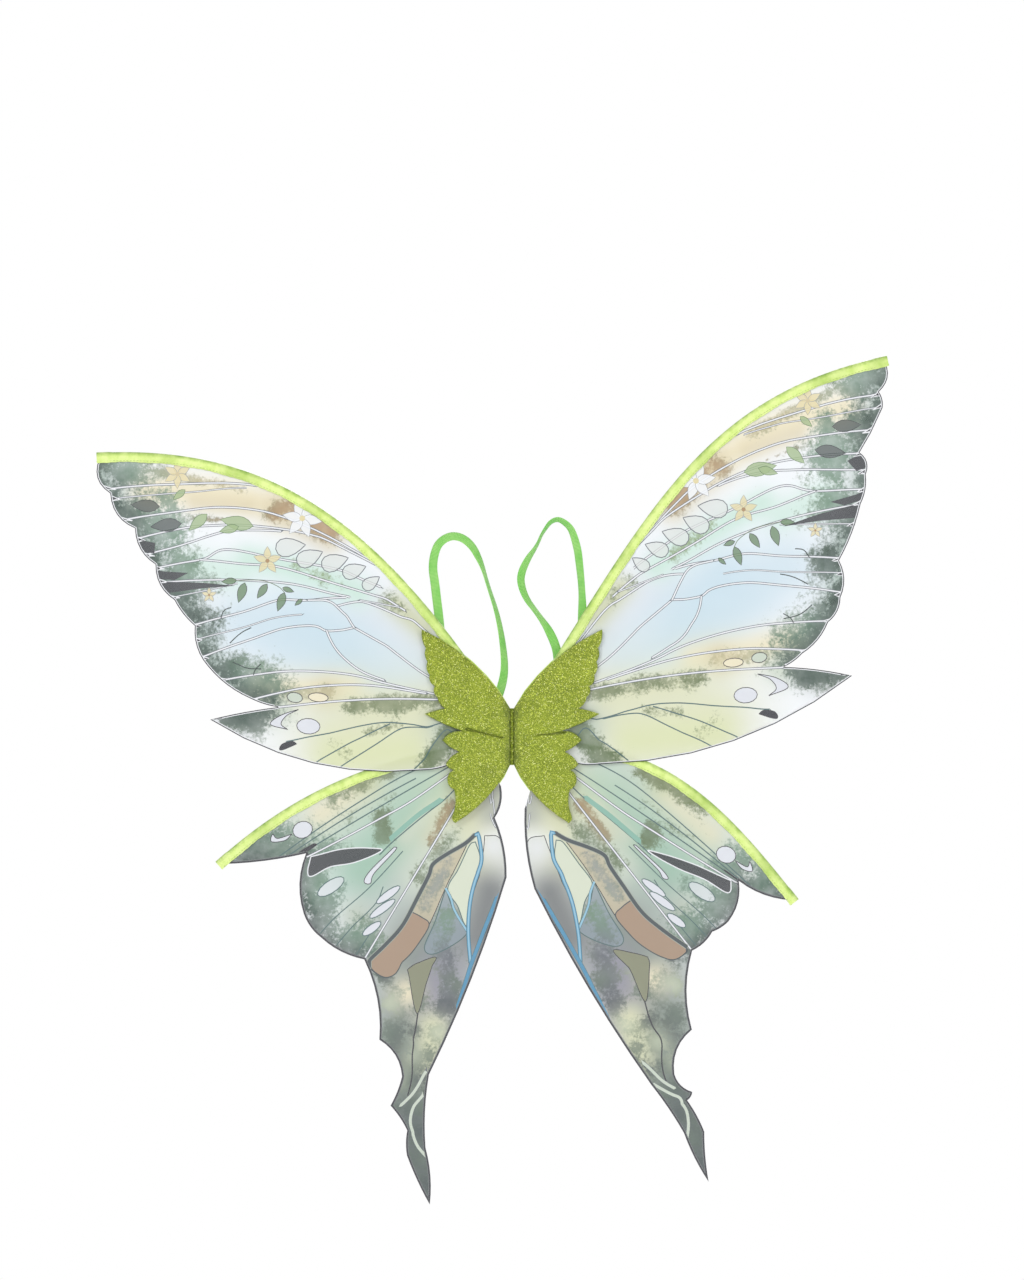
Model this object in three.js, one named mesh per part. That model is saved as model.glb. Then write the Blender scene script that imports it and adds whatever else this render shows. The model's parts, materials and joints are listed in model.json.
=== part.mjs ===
// Costume fairy wings: two forewings and two hindwings of sheer cloth, each hung from a springy
// rod in a folded tape casing. The rods run into a pocket between a front patch and a back patch
// on each side, the two sides meet at a pinched centre fold, and an elastic strap loops from
// each side for the wearer's arm.
//
// Millimetres and degrees. The wings are drawn lying on their back, with the front side up (+Z)
// and the head end along +Y. The last lines stand them up, so that +Z is up and the front
// looks along -Y. The origin is on the back of the centre tape.
import * as THREE from 'three';

// ---- Driving dimensions -------------------------------------------------------------------

const GAP = 0.3; // clearance between pieces that lie on each other

const ROD_RADIUS = 1.25;
const ROD_SLACK = 0.45; // between the rod and the casing around it
const CASING_WALL = 0.5;
const CASING_WIDTH = 9; // folded tape, from its outer fold to its sewn edges
const CAP_LENGTH = 8; // end cap over each end of a rod
const CAP_WALL = 1;
const THREAD_RADIUS = 0.25;
const SEAM_INSET = 1.2; // from the tape's sewn edge to the row of stitches

const PANEL_THICKNESS = 0.8;
const PANEL_START = 14; // along the rod, from the root to where the cloth begins

const FRONT_PATCH_THICKNESS = 2;
const BACK_PATCH_THICKNESS = 1.5;
const BACK_PATCH_MARGIN = 1; // the lining stands out this far past the front patch
const FOLD_WIDTH = 3;
const FOLD_TOP = 25;
const FOLD_BOTTOM = -26;
const TAPE_WIDTH = 10;

const STRAP_WIDTH = 8;
const STRAP_THICKNESS = 0.8;
const TACK_LENGTH = 6.5;
const TACK_WIDTH = 2;
const TACK_THICKNESS = 0.5;

const WING_ROOT_X = 15.5; // both pivots on a side, out from the centre fold
const FORE_ROOT_Y = 30.5;
const HIND_ROOT_Y = -5.5;

// ---- Sizes that follow --------------------------------------------------------------------

const CASING_INNER = ROD_RADIUS + ROD_SLACK;
const CASING_OUTER = CASING_INNER + CASING_WALL;
const FLANGE_INNER = PANEL_THICKNESS / 2 + GAP;
const FLANGE_OUTER = FLANGE_INNER + CASING_WALL;
const FLANGE_REACH = CASING_WIDTH - CASING_OUTER;
const PANEL_INSET = CASING_OUTER + GAP;
const TAPE_THICKNESS = STRAP_THICKNESS + GAP + TACK_THICKNESS;

// Heights of the layers, from the back of the centre tape up to the front patch. The two wing
// planes are just far enough apart for one wing's casing to pass over the other wing's cloth.
const BACK_PATCH_Z = TAPE_THICKNESS + GAP;
const HIND_PLANE_Z = BACK_PATCH_Z + BACK_PATCH_THICKNESS + GAP + CASING_OUTER;
const FORE_PLANE_Z = HIND_PLANE_Z + CASING_OUTER + GAP + PANEL_THICKNESS / 2;
const FRONT_PATCH_Z = FORE_PLANE_Z + CASING_OUTER + GAP;
const FRONT_Z = FRONT_PATCH_Z + FRONT_PATCH_THICKNESS;

const ROUND_SIDES = 8;
const ROD_STEPS = 26;
const EDGE_STEPS = 6; // chords along a bowed edge
const STRAP_STEPS = 40;

// ---- Outlines -----------------------------------------------------------------------------

// A corner of a wing lies at a reach and an angle from the wing's pivot, measured up from
// straight outwards. The edge that arrives at it bows outwards, or inwards if bow is negative.
const corner = (reach, angle, bow = 0) => ({ reach, angle, bow });

// The left wings hang flat and lower. The right wings are lifted, with the hindwing drawn in.
const WINGS = {
  left_forewing: {
    side: -1,
    rootY: FORE_ROOT_Y,
    plane: FORE_PLANE_Z,
    rod: { tip: corner(419, 32), leaves: 56, rootPull: 170, arrives: -3, tipPull: 170 },
    corners: {
      firstNick: corner(393, 28.5, 7),
      secondNick: corner(359, 25.8, 6),
      thirdNick: corner(329, 22.1, 5),
      shoulder: corner(302, 17.7, 5),
      fourthNick: corner(278, 14.3, 1.5),
      fifthNick: corner(260, 7.2, 4),
      sixthNick: corner(219, 0.8, 3),
      notch: corner(195, -1.3, 1),
      lobeTip: corner(256, -3.5, 1),
      heel: corner(88, -44, 17),
      crotch: corner(62, -58, 2),
    },
  },
  right_forewing: {
    side: 1,
    rootY: FORE_ROOT_Y,
    plane: FORE_PLANE_Z,
    rod: { tip: corner(444, 44), leaves: 57, rootPull: 195, arrives: 12, tipPull: 170 },
    corners: {
      firstNick: corner(420, 41.6, 5),
      secondNick: corner(413, 39.8, 1.5),
      thirdNick: corner(390, 38.2),
      fourthNick: corner(372, 37.1),
      fifthNick: corner(365, 34.1, 4),
      sixthNick: corner(347, 30.9, 2),
      seventhNick: corner(306, 24.6, 2),
      shoulder: corner(295, 18.6, 4),
      eighthNick: corner(278, 15, 3),
      ninthNick: corner(249, 10.1, 3),
      notch: corner(231, 7.9, 1),
      lobeTip: corner(291, 4.7, 1.5),
      heel: corner(85, -41, 20),
      crotch: corner(62, -58, 2),
    },
  },
  left_hindwing: {
    side: -1,
    rootY: HIND_ROOT_Y,
    plane: HIND_PLANE_Z,
    rod: { tip: corner(270, -23.5), leaves: -8, rootPull: 100, arrives: -42, tipPull: 100 },
    corners: {
      notch: corner(197, -30.5, 2),
      shoulder: corner(231, -42, 5),
      fringe: corner(235, -48.5, 2),
      waist: corner(228, -59, 3),
      firstSpike: corner(287, -68.8, -5),
      firstRecess: corner(312, -74.5, -5),
      secondSpike: corner(340, -74, -1),
      secondRecess: corner(358, -77.3, -1),
      thirdSpike: corner(380, -78, 1),
      tailTip: corner(420, -82, 1),
      ankle: corner(370, -80.3, 2.5),
      bend: corner(305, -78.8, -2),
      hip: corner(122, -95, 4),
      groin: corner(68, -90, 3),
      innerTop: corner(40, -98, 3),
    },
  },
  right_hindwing: {
    side: 1,
    rootY: HIND_ROOT_Y,
    plane: HIND_PLANE_Z,
    rod: { tip: corner(277, -30.5), leaves: 0, rootPull: 115, arrives: -52, tipPull: 120 },
    corners: {
      notch: corner(226, -33.5, 4),
      shoulder: corner(241, -42, 4),
      fringe: corner(237, -46, 1),
      waist: corner(238, -52, 2),
      firstSpike: corner(297, -60.5, -5),
      firstRecess: corner(326, -66.4, -6),
      secondSpike: corner(347, -65, -3),
      secondRecess: corner(352, -66.2, 1),
      thirdSpike: corner(384, -65.8, 1),
      tailTip: corner(427, -67.8, -1),
      ankle: corner(378, -68.4, 1.5),
      bend: corner(327, -70.4, -1),
      hip: corner(132, -88, 4),
      groin: corner(60, -94, 3),
    },
  },
};

// Half of the front patch: corners from the top of the centre fold round to its bottom, as
// [outwards, up, bow of the edge that arrives].
const PATCH_START = [FOLD_WIDTH / 2 + GAP, FOLD_TOP];
const PATCH_CORNERS = [
  [81, 96, 8],
  [77.5, 79, 1.5],
  [76, 67, 1.6],
  [74, 55, 1.8],
  [69.5, 45, 2],
  [67, 35, 2],
  [60, 25, 1.5],
  [78.5, 20, 0.5],
  [44, 4.5, 1],
  [62.5, -3.5, 3],
  [47.5, -14, 1],
  [59.5, -25, 1.5],
  [52.5, -30.5, 1],
  [58, -40, 2],
  [52, -48, 1.5],
  [53.5, -71, -2],
  [51, -78, 1.5],
  [FOLD_WIDTH / 2 + GAP, FOLD_BOTTOM, 5],
];

// Each strap's route over the back, as [outwards, up], from the end that is sewn to the tip of
// the patch, up round the arm loop, and back behind the patch.
const STRAPS = {
  left: [
    [-63, 72], [-65, 100], [-69, 134], [-71, 156], [-65, 174], [-52, 180], [-39, 174],
    [-29, 158], [-21, 134], [-13, 108], [-8, 80], [-7, 58], [-11, 40], [-19, 22], [-29, 8],
  ],
  right: [
    [60, 72], [63, 100], [63, 128], [61, 152], [58, 172], [51, 189], [39, 195], [29, 185],
    [22, 171], [13, 157], [8, 142], [12, 126], [23, 110], [33, 95], [40, 78], [42, 56],
  ],
};
const TACK_INSET = 4; // from a strap's end to the middle of its bar tack

// ---- Helpers ------------------------------------------------------------------------------

const rad = THREE.MathUtils.degToRad;

function polar(reach, angle) {
  return new THREE.Vector2(reach * Math.cos(rad(angle)), reach * Math.sin(rad(angle)));
}

// Points along an edge from start to end, without start. A positive bow bulges to the left of
// the way the edge runs, which is outwards on an outline that is walked clockwise.
function edge(start, end, bow) {
  const along = end.clone().sub(start);
  const outwards = new THREE.Vector2(-along.y, along.x).normalize();
  const steps = bow === 0 ? 1 : EDGE_STEPS;
  const points = [];
  for (let i = 1; i <= steps; i += 1) {
    const t = i / steps;
    const bulge = bow * 4 * t * (1 - t);
    points.push(start.clone().addScaledVector(along, t).addScaledVector(outwards, bulge));
  }
  return points;
}

const mirrored = (points, side) => points.map((point) => new THREE.Vector2(side * point.x, point.y));

// An outline moved outwards all round by a margin, with its corners kept.
function grown(points, margin) {
  const count = points.length;
  return points.map((point, i) => {
    const before = points[(i + count - 1) % count];
    const after = points[(i + 1) % count];
    const along = after.clone().sub(before).normalize();
    return point.clone().add(new THREE.Vector2(-along.y, along.x).multiplyScalar(margin));
  });
}

const cloth = (color) => new THREE.MeshStandardMaterial({ color, roughness: 0.85, metalness: 0 });
const satin = (color) => new THREE.MeshStandardMaterial({ color, roughness: 0.45, metalness: 0 });
const plastic = (color) => new THREE.MeshStandardMaterial({ color, roughness: 0.35, metalness: 0 });

function piece(name, geometry, material) {
  const mesh = new THREE.Mesh(geometry, material);
  mesh.name = name;
  return mesh;
}

function slab(points, thickness) {
  return new THREE.ExtrudeGeometry(new THREE.Shape(points), { depth: thickness, bevelEnabled: false });
}

function sweep(section, path, steps) {
  return new THREE.ExtrudeGeometry(new THREE.Shape(section), { steps, extrudePath: path });
}

function roundSection(radius, sides) {
  const section = [];
  for (let i = 0; i < sides; i += 1) {
    section.push(polar(radius, (360 * i) / sides));
  }
  return section;
}

// ---- Rods, casings and caps ---------------------------------------------------------------

function rodCurve(rod, side) {
  const tip = polar(rod.tip.reach, rod.tip.angle);
  const rootControl = polar(rod.rootPull, rod.leaves);
  const tipControl = tip.clone().sub(polar(rod.tipPull, rod.arrives));
  const flat = [new THREE.Vector2(), rootControl, tipControl, tip];
  const [a, b, c, d] = flat.map((point) => new THREE.Vector3(side * point.x, point.y, 0));
  return new THREE.CubicBezierCurve3(a, b, c, d);
}

// Points beside a curve between two distances along it. A positive offset is on the right of
// the way the curve runs.
function beside(curve, from, to, offset, steps) {
  const length = curve.getLength();
  const points = [];
  for (let i = 0; i <= steps; i += 1) {
    const u = (from + ((to - from) * i) / steps) / length;
    const ahead = curve.getTangentAt(u);
    const right = new THREE.Vector3(ahead.y, -ahead.x, 0);
    points.push(curve.getPointAt(u).addScaledVector(right, offset));
  }
  return points;
}

// The tape folded round the rod: a split ring with two sewn edges that hold the cloth's edge
// between them. In a section, x is across the cloth and y is to the left of the path.
function casingSection(side) {
  const arc = (radius, half) => {
    const open = Math.asin(half / radius);
    const points = [];
    for (let i = 0; i <= ROUND_SIDES - 2; i += 1) {
      const turn = open + ((2 * Math.PI - 2 * open) * i) / (ROUND_SIDES - 2);
      points.push([radius * Math.cos(turn), radius * Math.sin(turn)]);
    }
    return points;
  };
  const outline = [
    [FLANGE_REACH, FLANGE_OUTER],
    ...arc(CASING_OUTER, FLANGE_OUTER),
    [FLANGE_REACH, -FLANGE_OUTER],
    [FLANGE_REACH, -FLANGE_INNER],
    ...arc(CASING_INNER, FLANGE_INNER).reverse(),
    [FLANGE_REACH, FLANGE_INNER],
  ];
  return outline.map(([inwards, across]) => new THREE.Vector2(across, -side * inwards));
}

// A cup over a rod's end. Its opening looks along +Y and its floor is just under the origin.
function capGeometry() {
  const profile = [
    [0, -GAP - CAP_WALL],
    [CASING_OUTER, -GAP - CAP_WALL],
    [CASING_OUTER, CAP_LENGTH],
    [CASING_INNER, CAP_LENGTH],
    [CASING_INNER, -GAP],
    [0, -GAP],
  ];
  return new THREE.LatheGeometry(profile.map(([x, y]) => new THREE.Vector2(x, y)), ROUND_SIDES);
}

function placedCap(name, curve, u, direction) {
  const cap = piece(name, capGeometry(), plastic(0xdfe6cf));
  const ahead = curve.getTangentAt(u).multiplyScalar(direction);
  cap.position.copy(curve.getPointAt(u));
  cap.rotation.z = Math.atan2(ahead.y, ahead.x) - Math.PI / 2;
  return cap;
}

// ---- One wing -----------------------------------------------------------------------------

function panelOutline(wing) {
  const curve = rodCurve(wing.rod, 1);
  const length = curve.getLength();
  const leading = beside(curve, PANEL_START, length, PANEL_INSET, ROD_STEPS);
  const outline = leading.map((point) => new THREE.Vector2(point.x, point.y));
  for (const { reach, angle, bow } of Object.values(wing.corners)) {
    outline.push(...edge(outline.at(-1), polar(reach, angle), bow));
  }
  return mirrored(outline, wing.side);
}

function wingGroup(name, wing) {
  const curve = rodCurve(wing.rod, wing.side);
  const length = curve.getLength();
  const casingEnds = [CAP_LENGTH + GAP, length - CAP_LENGTH - GAP];
  const casingPath = new THREE.CatmullRomCurve3(beside(curve, ...casingEnds, 0, ROD_STEPS));
  const seamOffset = wing.side * (FLANGE_REACH - SEAM_INSET);
  const seamPath = new THREE.CatmullRomCurve3(beside(curve, ...casingEnds, seamOffset, ROD_STEPS));

  const panel = piece(`${name}_panel`, slab(panelOutline(wing), PANEL_THICKNESS), cloth(0xcfd9d3));
  panel.position.z = -PANEL_THICKNESS / 2;
  const casing = sweep(casingSection(wing.side), casingPath, ROD_STEPS);
  const rod = sweep(roundSection(ROD_RADIUS, ROUND_SIDES), curve, ROD_STEPS);
  const thread = sweep(roundSection(THREAD_RADIUS, 4), seamPath, ROD_STEPS);
  const threadMesh = piece(`${name}_casing_thread`, thread, cloth(0xa3bd58));
  threadMesh.position.z = FLANGE_OUTER + GAP + THREAD_RADIUS;

  const group = new THREE.Group();
  group.position.set(wing.side * WING_ROOT_X, wing.rootY, wing.plane);
  group.add(
    panel,
    piece(`${name}_casing`, casing, satin(0xdfeeb3)),
    piece(`${name}_rod`, rod, plastic(0xe8e8e0)),
    placedCap(`${name}_root_cap`, curve, 0, 1),
    placedCap(`${name}_tip_cap`, curve, 1, -1),
    threadMesh,
  );
  return group;
}

// ---- Patches, straps and the centre -------------------------------------------------------

function patchOutline() {
  const outline = [new THREE.Vector2(...PATCH_START)];
  for (const [x, y, bow] of PATCH_CORNERS) {
    outline.push(...edge(outline.at(-1), new THREE.Vector2(x, y), bow));
  }
  return outline;
}

// The lining stands out past the front patch all round, but stops at the centre fold.
function liningOutline() {
  const inner = FOLD_WIDTH / 2 + GAP;
  return grown(patchOutline(), BACK_PATCH_MARGIN).map(
    (point) => new THREE.Vector2(Math.max(point.x, inner), point.y),
  );
}

function strapCurve(route) {
  const z = BACK_PATCH_Z - GAP - STRAP_THICKNESS / 2;
  return new THREE.CatmullRomCurve3(route.map(([x, y]) => new THREE.Vector3(x, y, z)));
}

// A short bar of close stitches across the strap, on the strap's back.
function barTack(name, curve, distance) {
  const u = distance / curve.getLength();
  const ahead = curve.getTangentAt(u);
  const bar = new THREE.BoxGeometry(TACK_WIDTH, TACK_LENGTH, TACK_THICKNESS);
  const mesh = piece(name, bar, cloth(0xa3bd58));
  mesh.position.copy(curve.getPointAt(u)).setZ(TACK_THICKNESS / 2);
  mesh.rotation.z = Math.atan2(ahead.y, ahead.x);
  return mesh;
}

function halfGroup(name, side) {
  const front = slab(mirrored(patchOutline(), side), FRONT_PATCH_THICKNESS);
  const frontPatch = piece(`${name}_front_patch`, front, cloth(0x9caa52));
  frontPatch.position.z = FRONT_PATCH_Z;
  const back = slab(mirrored(liningOutline(), side), BACK_PATCH_THICKNESS);
  const backPatch = piece(`${name}_back_patch`, back, cloth(0xddf48a));
  backPatch.position.z = BACK_PATCH_Z;

  const curve = strapCurve(STRAPS[name]);
  const halfWidth = STRAP_WIDTH / 2;
  const halfThickness = STRAP_THICKNESS / 2;
  const section = [
    new THREE.Vector2(-halfThickness, -halfWidth),
    new THREE.Vector2(halfThickness, -halfWidth),
    new THREE.Vector2(halfThickness, halfWidth),
    new THREE.Vector2(-halfThickness, halfWidth),
  ];
  const strap = piece(`${name}_strap`, sweep(section, curve, STRAP_STEPS), satin(0xc1dd86));

  const group = new THREE.Group();
  group.add(
    frontPatch,
    backPatch,
    strap,
    barTack(`${name}_strap_outer_tack`, curve, TACK_INSET),
    barTack(`${name}_strap_inner_tack`, curve, curve.getLength() - TACK_INSET),
  );
  return group;
}

function spineGroup() {
  const height = FOLD_TOP - FOLD_BOTTOM;
  const middle = (FOLD_TOP + FOLD_BOTTOM) / 2;
  const foldThickness = FRONT_Z - BACK_PATCH_Z;
  const fold = new THREE.BoxGeometry(FOLD_WIDTH, height, foldThickness);
  const foldMesh = piece('centre_fold', fold, cloth(0x7d8a44));
  foldMesh.position.set(0, middle, BACK_PATCH_Z + foldThickness / 2);
  const tape = new THREE.BoxGeometry(TAPE_WIDTH, height, TAPE_THICKNESS);
  const tapeMesh = piece('spine_tape', tape, cloth(0xa3bd58));
  tapeMesh.position.set(0, middle, TAPE_THICKNESS / 2);
  const group = new THREE.Group();
  group.add(foldMesh, tapeMesh);
  return group;
}

// ---- The whole object ---------------------------------------------------------------------

const wings = new THREE.Group();
wings.add(spineGroup(), halfGroup('left', -1), halfGroup('right', 1));
for (const [name, wing] of Object.entries(WINGS)) {
  wings.add(wingGroup(name, wing));
}
wings.rotation.x = Math.PI / 2;

export default wings;
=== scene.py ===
# %% [markdown]
# Fairy wings, built in Blender around a fixed frame.
#
# The real object is four panels of printed, see-through cloth. Each hangs from a springy rod in
# a folded satin tape. The rods meet under a glittered patch in the middle, which folds down its
# centre, and two elastic loops behind it go round the wearer's arms.
#
# The frame holds the true sizes, so every piece here takes its place from a frame piece. That is
# safer than typing positions twice, because the two models can't drift apart.

import json
import math

import bmesh
import bpy
import numpy as np
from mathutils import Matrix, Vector, geometry

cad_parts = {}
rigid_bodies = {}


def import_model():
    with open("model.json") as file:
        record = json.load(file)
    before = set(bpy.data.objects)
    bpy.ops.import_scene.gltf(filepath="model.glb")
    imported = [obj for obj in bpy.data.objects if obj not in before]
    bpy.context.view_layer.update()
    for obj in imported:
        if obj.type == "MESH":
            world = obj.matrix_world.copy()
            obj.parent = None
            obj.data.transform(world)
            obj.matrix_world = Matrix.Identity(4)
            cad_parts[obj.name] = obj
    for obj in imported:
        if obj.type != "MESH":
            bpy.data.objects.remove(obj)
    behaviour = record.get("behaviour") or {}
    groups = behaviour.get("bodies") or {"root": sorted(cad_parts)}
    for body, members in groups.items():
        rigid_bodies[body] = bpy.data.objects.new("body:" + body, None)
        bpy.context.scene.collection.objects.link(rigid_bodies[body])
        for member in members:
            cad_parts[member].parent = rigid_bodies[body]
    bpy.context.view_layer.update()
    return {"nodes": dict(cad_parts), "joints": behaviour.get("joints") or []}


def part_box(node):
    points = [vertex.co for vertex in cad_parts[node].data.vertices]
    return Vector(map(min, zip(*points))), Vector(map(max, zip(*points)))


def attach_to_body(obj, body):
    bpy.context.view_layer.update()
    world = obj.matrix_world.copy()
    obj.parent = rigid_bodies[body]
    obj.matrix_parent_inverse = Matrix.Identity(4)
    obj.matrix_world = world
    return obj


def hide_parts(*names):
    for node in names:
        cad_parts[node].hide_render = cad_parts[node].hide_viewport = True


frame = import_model()
MM = 0.001
SIDES = {"left": -1, "right": 1}

# %% [markdown]
# The wings are looked at straight on, as they lie on a table or hang on a wall. A long lens from
# far away keeps them as flat as a pattern, where a short lens would swell the middle. The floor
# stops just behind the wings, so the white room shows all round them from the front.

# %% Camera, floor and light
CAMERA_SEAT = (0, -6, 0.0864)
LENS = 187.5
FILM_WIDTH = 36


def add_camera():
    camera = bpy.data.cameras.new("camera")
    camera.lens = LENS
    camera.sensor_width = FILM_WIDTH
    seat = bpy.data.objects.new("camera", camera)
    seat.location = CAMERA_SEAT
    seat.rotation_euler = (math.radians(90), 0, 0)
    bpy.context.collection.objects.link(seat)
    bpy.context.scene.camera = seat


def add_light(name, place, size, watts):
    lamp = bpy.data.lights.new(name, "AREA")
    lamp.shape = "DISK"
    lamp.size = size
    lamp.energy = watts
    stand = bpy.data.objects.new(name, lamp)
    stand.location = place
    stand.rotation_euler = (-Vector(place)).to_track_quat("-Z", "Y").to_euler()
    bpy.context.collection.objects.link(stand)


add_camera()
add_light("key_light", (-1.6, -2.6, 2.0), 1.6, 42)
add_light("fill_light", (2.2, -2.4, 0.6), 2.0, 20)
add_light("back_light", (0.6, 2.4, 1.6), 1.8, 30)

# %% White room
# The room is seen as pure white but lights the wings less than that, so the print isn't bleached.
def white_room(seen, lit):
    room = bpy.data.worlds.new("white_room")
    room.use_nodes = True
    nodes, links = room.node_tree.nodes, room.node_tree.links
    wall = nodes["Background"]
    wall.inputs["Color"].default_value = (1, 1, 1, 1)
    path = nodes.new("ShaderNodeLightPath")
    strength = nodes.new("ShaderNodeMapRange")
    strength.inputs["To Min"].default_value = lit
    strength.inputs["To Max"].default_value = seen
    links.new(path.outputs["Is Camera Ray"], strength.inputs["Value"])
    links.new(strength.outputs["Result"], wall.inputs["Strength"])
    return room


bpy.context.scene.world = white_room(1.0, 0.6)
bpy.context.scene.view_settings.view_transform = "Standard"

# %% [markdown]
# Colours are written as a painter reads them off a chart, from 0 to 255 on a screen. Blender
# mixes light, so each one is turned into linear values once, here.

# %% Colours
def linear(*chart):
    shares = [value / 255 for value in chart]
    return tuple(share / 12.92 if share <= 0.04045 else ((share + 0.055) / 1.055) ** 2.4
                 for share in shares)


CHART = {
    "white": (240, 243, 247), "lilac_white": (222, 225, 232), "pale_blue": (212, 227, 236),
    "sky": (201, 222, 233), "cream": (236, 228, 200), "sand": (212, 198, 160),
    "band_tan": (196, 186, 160), "pale_cell": (216, 223, 204), "tail_light": (200, 208, 184),
    "moss_grey": (104, 120, 108), "tan": (176, 143, 104), "pale_yellow": (219, 221, 188),
    "yellow_green": (200, 204, 160), "lime_wash": (218, 224, 180), "olive": (120, 133, 92),
    "sage": (176, 192, 178), "pale_sage": (204, 214, 200), "moss": (100, 120, 84),
    "dark_green": (58, 82, 72), "deep_green": (40, 60, 56), "green_grey": (133, 146, 136),
    "margin_green": (66, 102, 84), "margin_light": (120, 152, 132), "mint": (206, 230, 220),
    "mint_green": (154, 194, 172), "teal_wash": (140, 186, 170), "dark_teal": (84, 112, 112),
    "slate": (150, 150, 162), "slate_dark": (104, 106, 122), "blue_grey": (140, 156, 166),
    "olive_grey": (140, 143, 118), "grey": (158, 163, 160), "mid_grey": (120, 124, 126),
    "charcoal": (52, 54, 62), "line": (104, 110, 118), "pale_line": (150, 154, 160),
    "core": (236, 238, 242), "teal": (112, 150, 140), "blue": (84, 150, 186),
    "light_blue": (150, 196, 218), "leaf": (96, 130, 84), "light_leaf": (160, 184, 134),
    "gold": (226, 214, 168), "petal": (220, 224, 222), "pink_brown": (170, 146, 124),
    "tail_grey": (163, 171, 160), "tail_dark": (74, 84, 88),
}
INK = {name: linear(*colour) for name, colour in CHART.items()}
print("inks:", len(INK))

# %% [markdown]
# Node trees get long when every wire is made by hand. A thin wrapper round a socket lets the
# shader sums read like ordinary arithmetic: `1 - mask * 0.5` adds two Math nodes and wires them.

# %% A socket that does arithmetic
def adds_math(operation, swapped=False):
    """A Python operator that adds one Math node."""
    def join(self, other):
        terms = [other, self] if swapped else [self, other]
        return self.paint.math(operation, *terms)
    return join


class Sum:
    """One socket of a paint's tree."""

    def __init__(self, paint, socket):
        self.paint = paint
        self.socket = socket

    __add__ = __radd__ = adds_math("ADD")
    __sub__ = adds_math("SUBTRACT")
    __rsub__ = adds_math("SUBTRACT", swapped=True)
    __mul__ = __rmul__ = adds_math("MULTIPLY")
    __gt__ = adds_math("GREATER_THAN")


class Outputs:
    """A node's output sockets, by name or number."""

    def __init__(self, paint, made):
        self.paint = paint
        self.made = made

    def __getitem__(self, key):
        return Sum(self.paint, self.made.outputs[key])


class Paint:
    """One material and the nodes that colour it."""

    def __init__(self, name, **fixed):
        self.material = bpy.data.materials.new(name)
        self.material.use_nodes = True
        self.tree = self.material.node_tree
        self.shader = self.tree.nodes["Principled BSDF"]
        for socket, value in fixed.items():
            self.shader.inputs[socket.replace("_", " ")].default_value = value
        self.place = self.node("ShaderNodeTexCoord", {}, {})["Object"]

    def node(self, kind, settings, sockets):
        made = self.tree.nodes.new(kind)
        for key, value in settings.items():
            setattr(made, key, value)
        for key, value in sockets.items():
            self.plug(made.inputs[key], value)
        return Outputs(self, made)

    def plug(self, socket, value):
        if isinstance(value, Sum):
            self.tree.links.new(value.socket, socket)
        else:
            socket.default_value = value

    def into(self, socket, value):
        self.plug(self.shader.inputs[socket], value)

    def math(self, operation, *terms):
        return self.node("ShaderNodeMath", {"operation": operation}, dict(enumerate(terms)))[0]

    def noise(self, scale, detail=4.0, roughness=0.6):
        sockets = {"Vector": self.place, "Scale": scale, "Detail": detail, "Roughness": roughness}
        return self.node("ShaderNodeTexNoise", {}, sockets)["Fac"]

    def wave(self, direction, scale, distortion):
        sockets = {"Vector": self.place, "Scale": scale, "Distortion": distortion}
        return self.node("ShaderNodeTexWave", {"bands_direction": direction}, sockets)["Fac"]

    def grains(self, scale, channel):
        """A random value for each small grain."""
        cells = self.node("ShaderNodeTexVoronoi", {}, {"Vector": self.place, "Scale": scale})
        return self.node("ShaderNodeSeparateColor", {}, {"Color": cells["Color"]})[channel]

    def ramp(self, value, low, high, start=0.0, end=1.0):
        sockets = {"Value": value, "From Min": low, "From Max": high, "To Min": start, "To Max": end}
        return self.node("ShaderNodeMapRange", {}, sockets)["Result"]

    def clouds(self, scale, detail=4.0):
        return self.ramp(self.noise(scale, detail), 0.3, 0.7)

    def mix(self, amount, first, second):
        """Blends two colours, each a socket or a chart colour."""
        first, second = (value if isinstance(value, Sum) else (*linear(*value), 1.0)
                         for value in (first, second))
        sockets = {0: amount, 6: first, 7: second}
        return self.node("ShaderNodeMix", {"data_type": "RGBA"}, sockets)[2]

    def attribute(self, name):
        return self.node("ShaderNodeAttribute", {"attribute_name": name}, {})

    def bump(self, height, depth, strength=1.0):
        sockets = {"Height": height, "Distance": depth, "Strength": strength}
        self.into("Normal", self.node("ShaderNodeBump", {}, sockets)["Normal"])


# %% [markdown]
# The printed cloth is a sheer satin. Its colours are painted on the mesh as two attributes: an
# "ink" with the crisp shapes, and a "blot" with the colour and the amount of the mottling, which
# noise then breaks up as wet paint does. The picture could also be an image texture, but colours
# on the mesh stay sharp at every distance and need no file.

# %% Wing cloth material
def wing_cloth():
    paint = Paint("wing_cloth", Roughness=0.5, Specular_IOR_Level=0.35, Sheen_Weight=0.15)
    ink = paint.attribute("ink")
    blot = paint.attribute("blot")
    fine = paint.noise(330, 5, 0.7)
    grain = paint.noise(52, 6, 0.7) * 0.55 + fine * 0.45
    edge = 0.7 - blot["Alpha"] * 0.34
    cover = paint.ramp(grain - edge, -0.05, 0.07)
    stained = paint.mix(cover * (0.7 + 0.3 * paint.clouds(70)), ink["Color"], blot["Color"])
    paint.into("Base Color", stained)
    paint.bump(paint.wave("X", 420, 0.4) + paint.wave("Z", 420, 0.4), 0.00006, 0.5)
    paint.into("Roughness", paint.ramp(fine, 0.3, 0.7, 0.42, 0.58))
    paint.into("Alpha", 0.76)
    return paint.material


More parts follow.
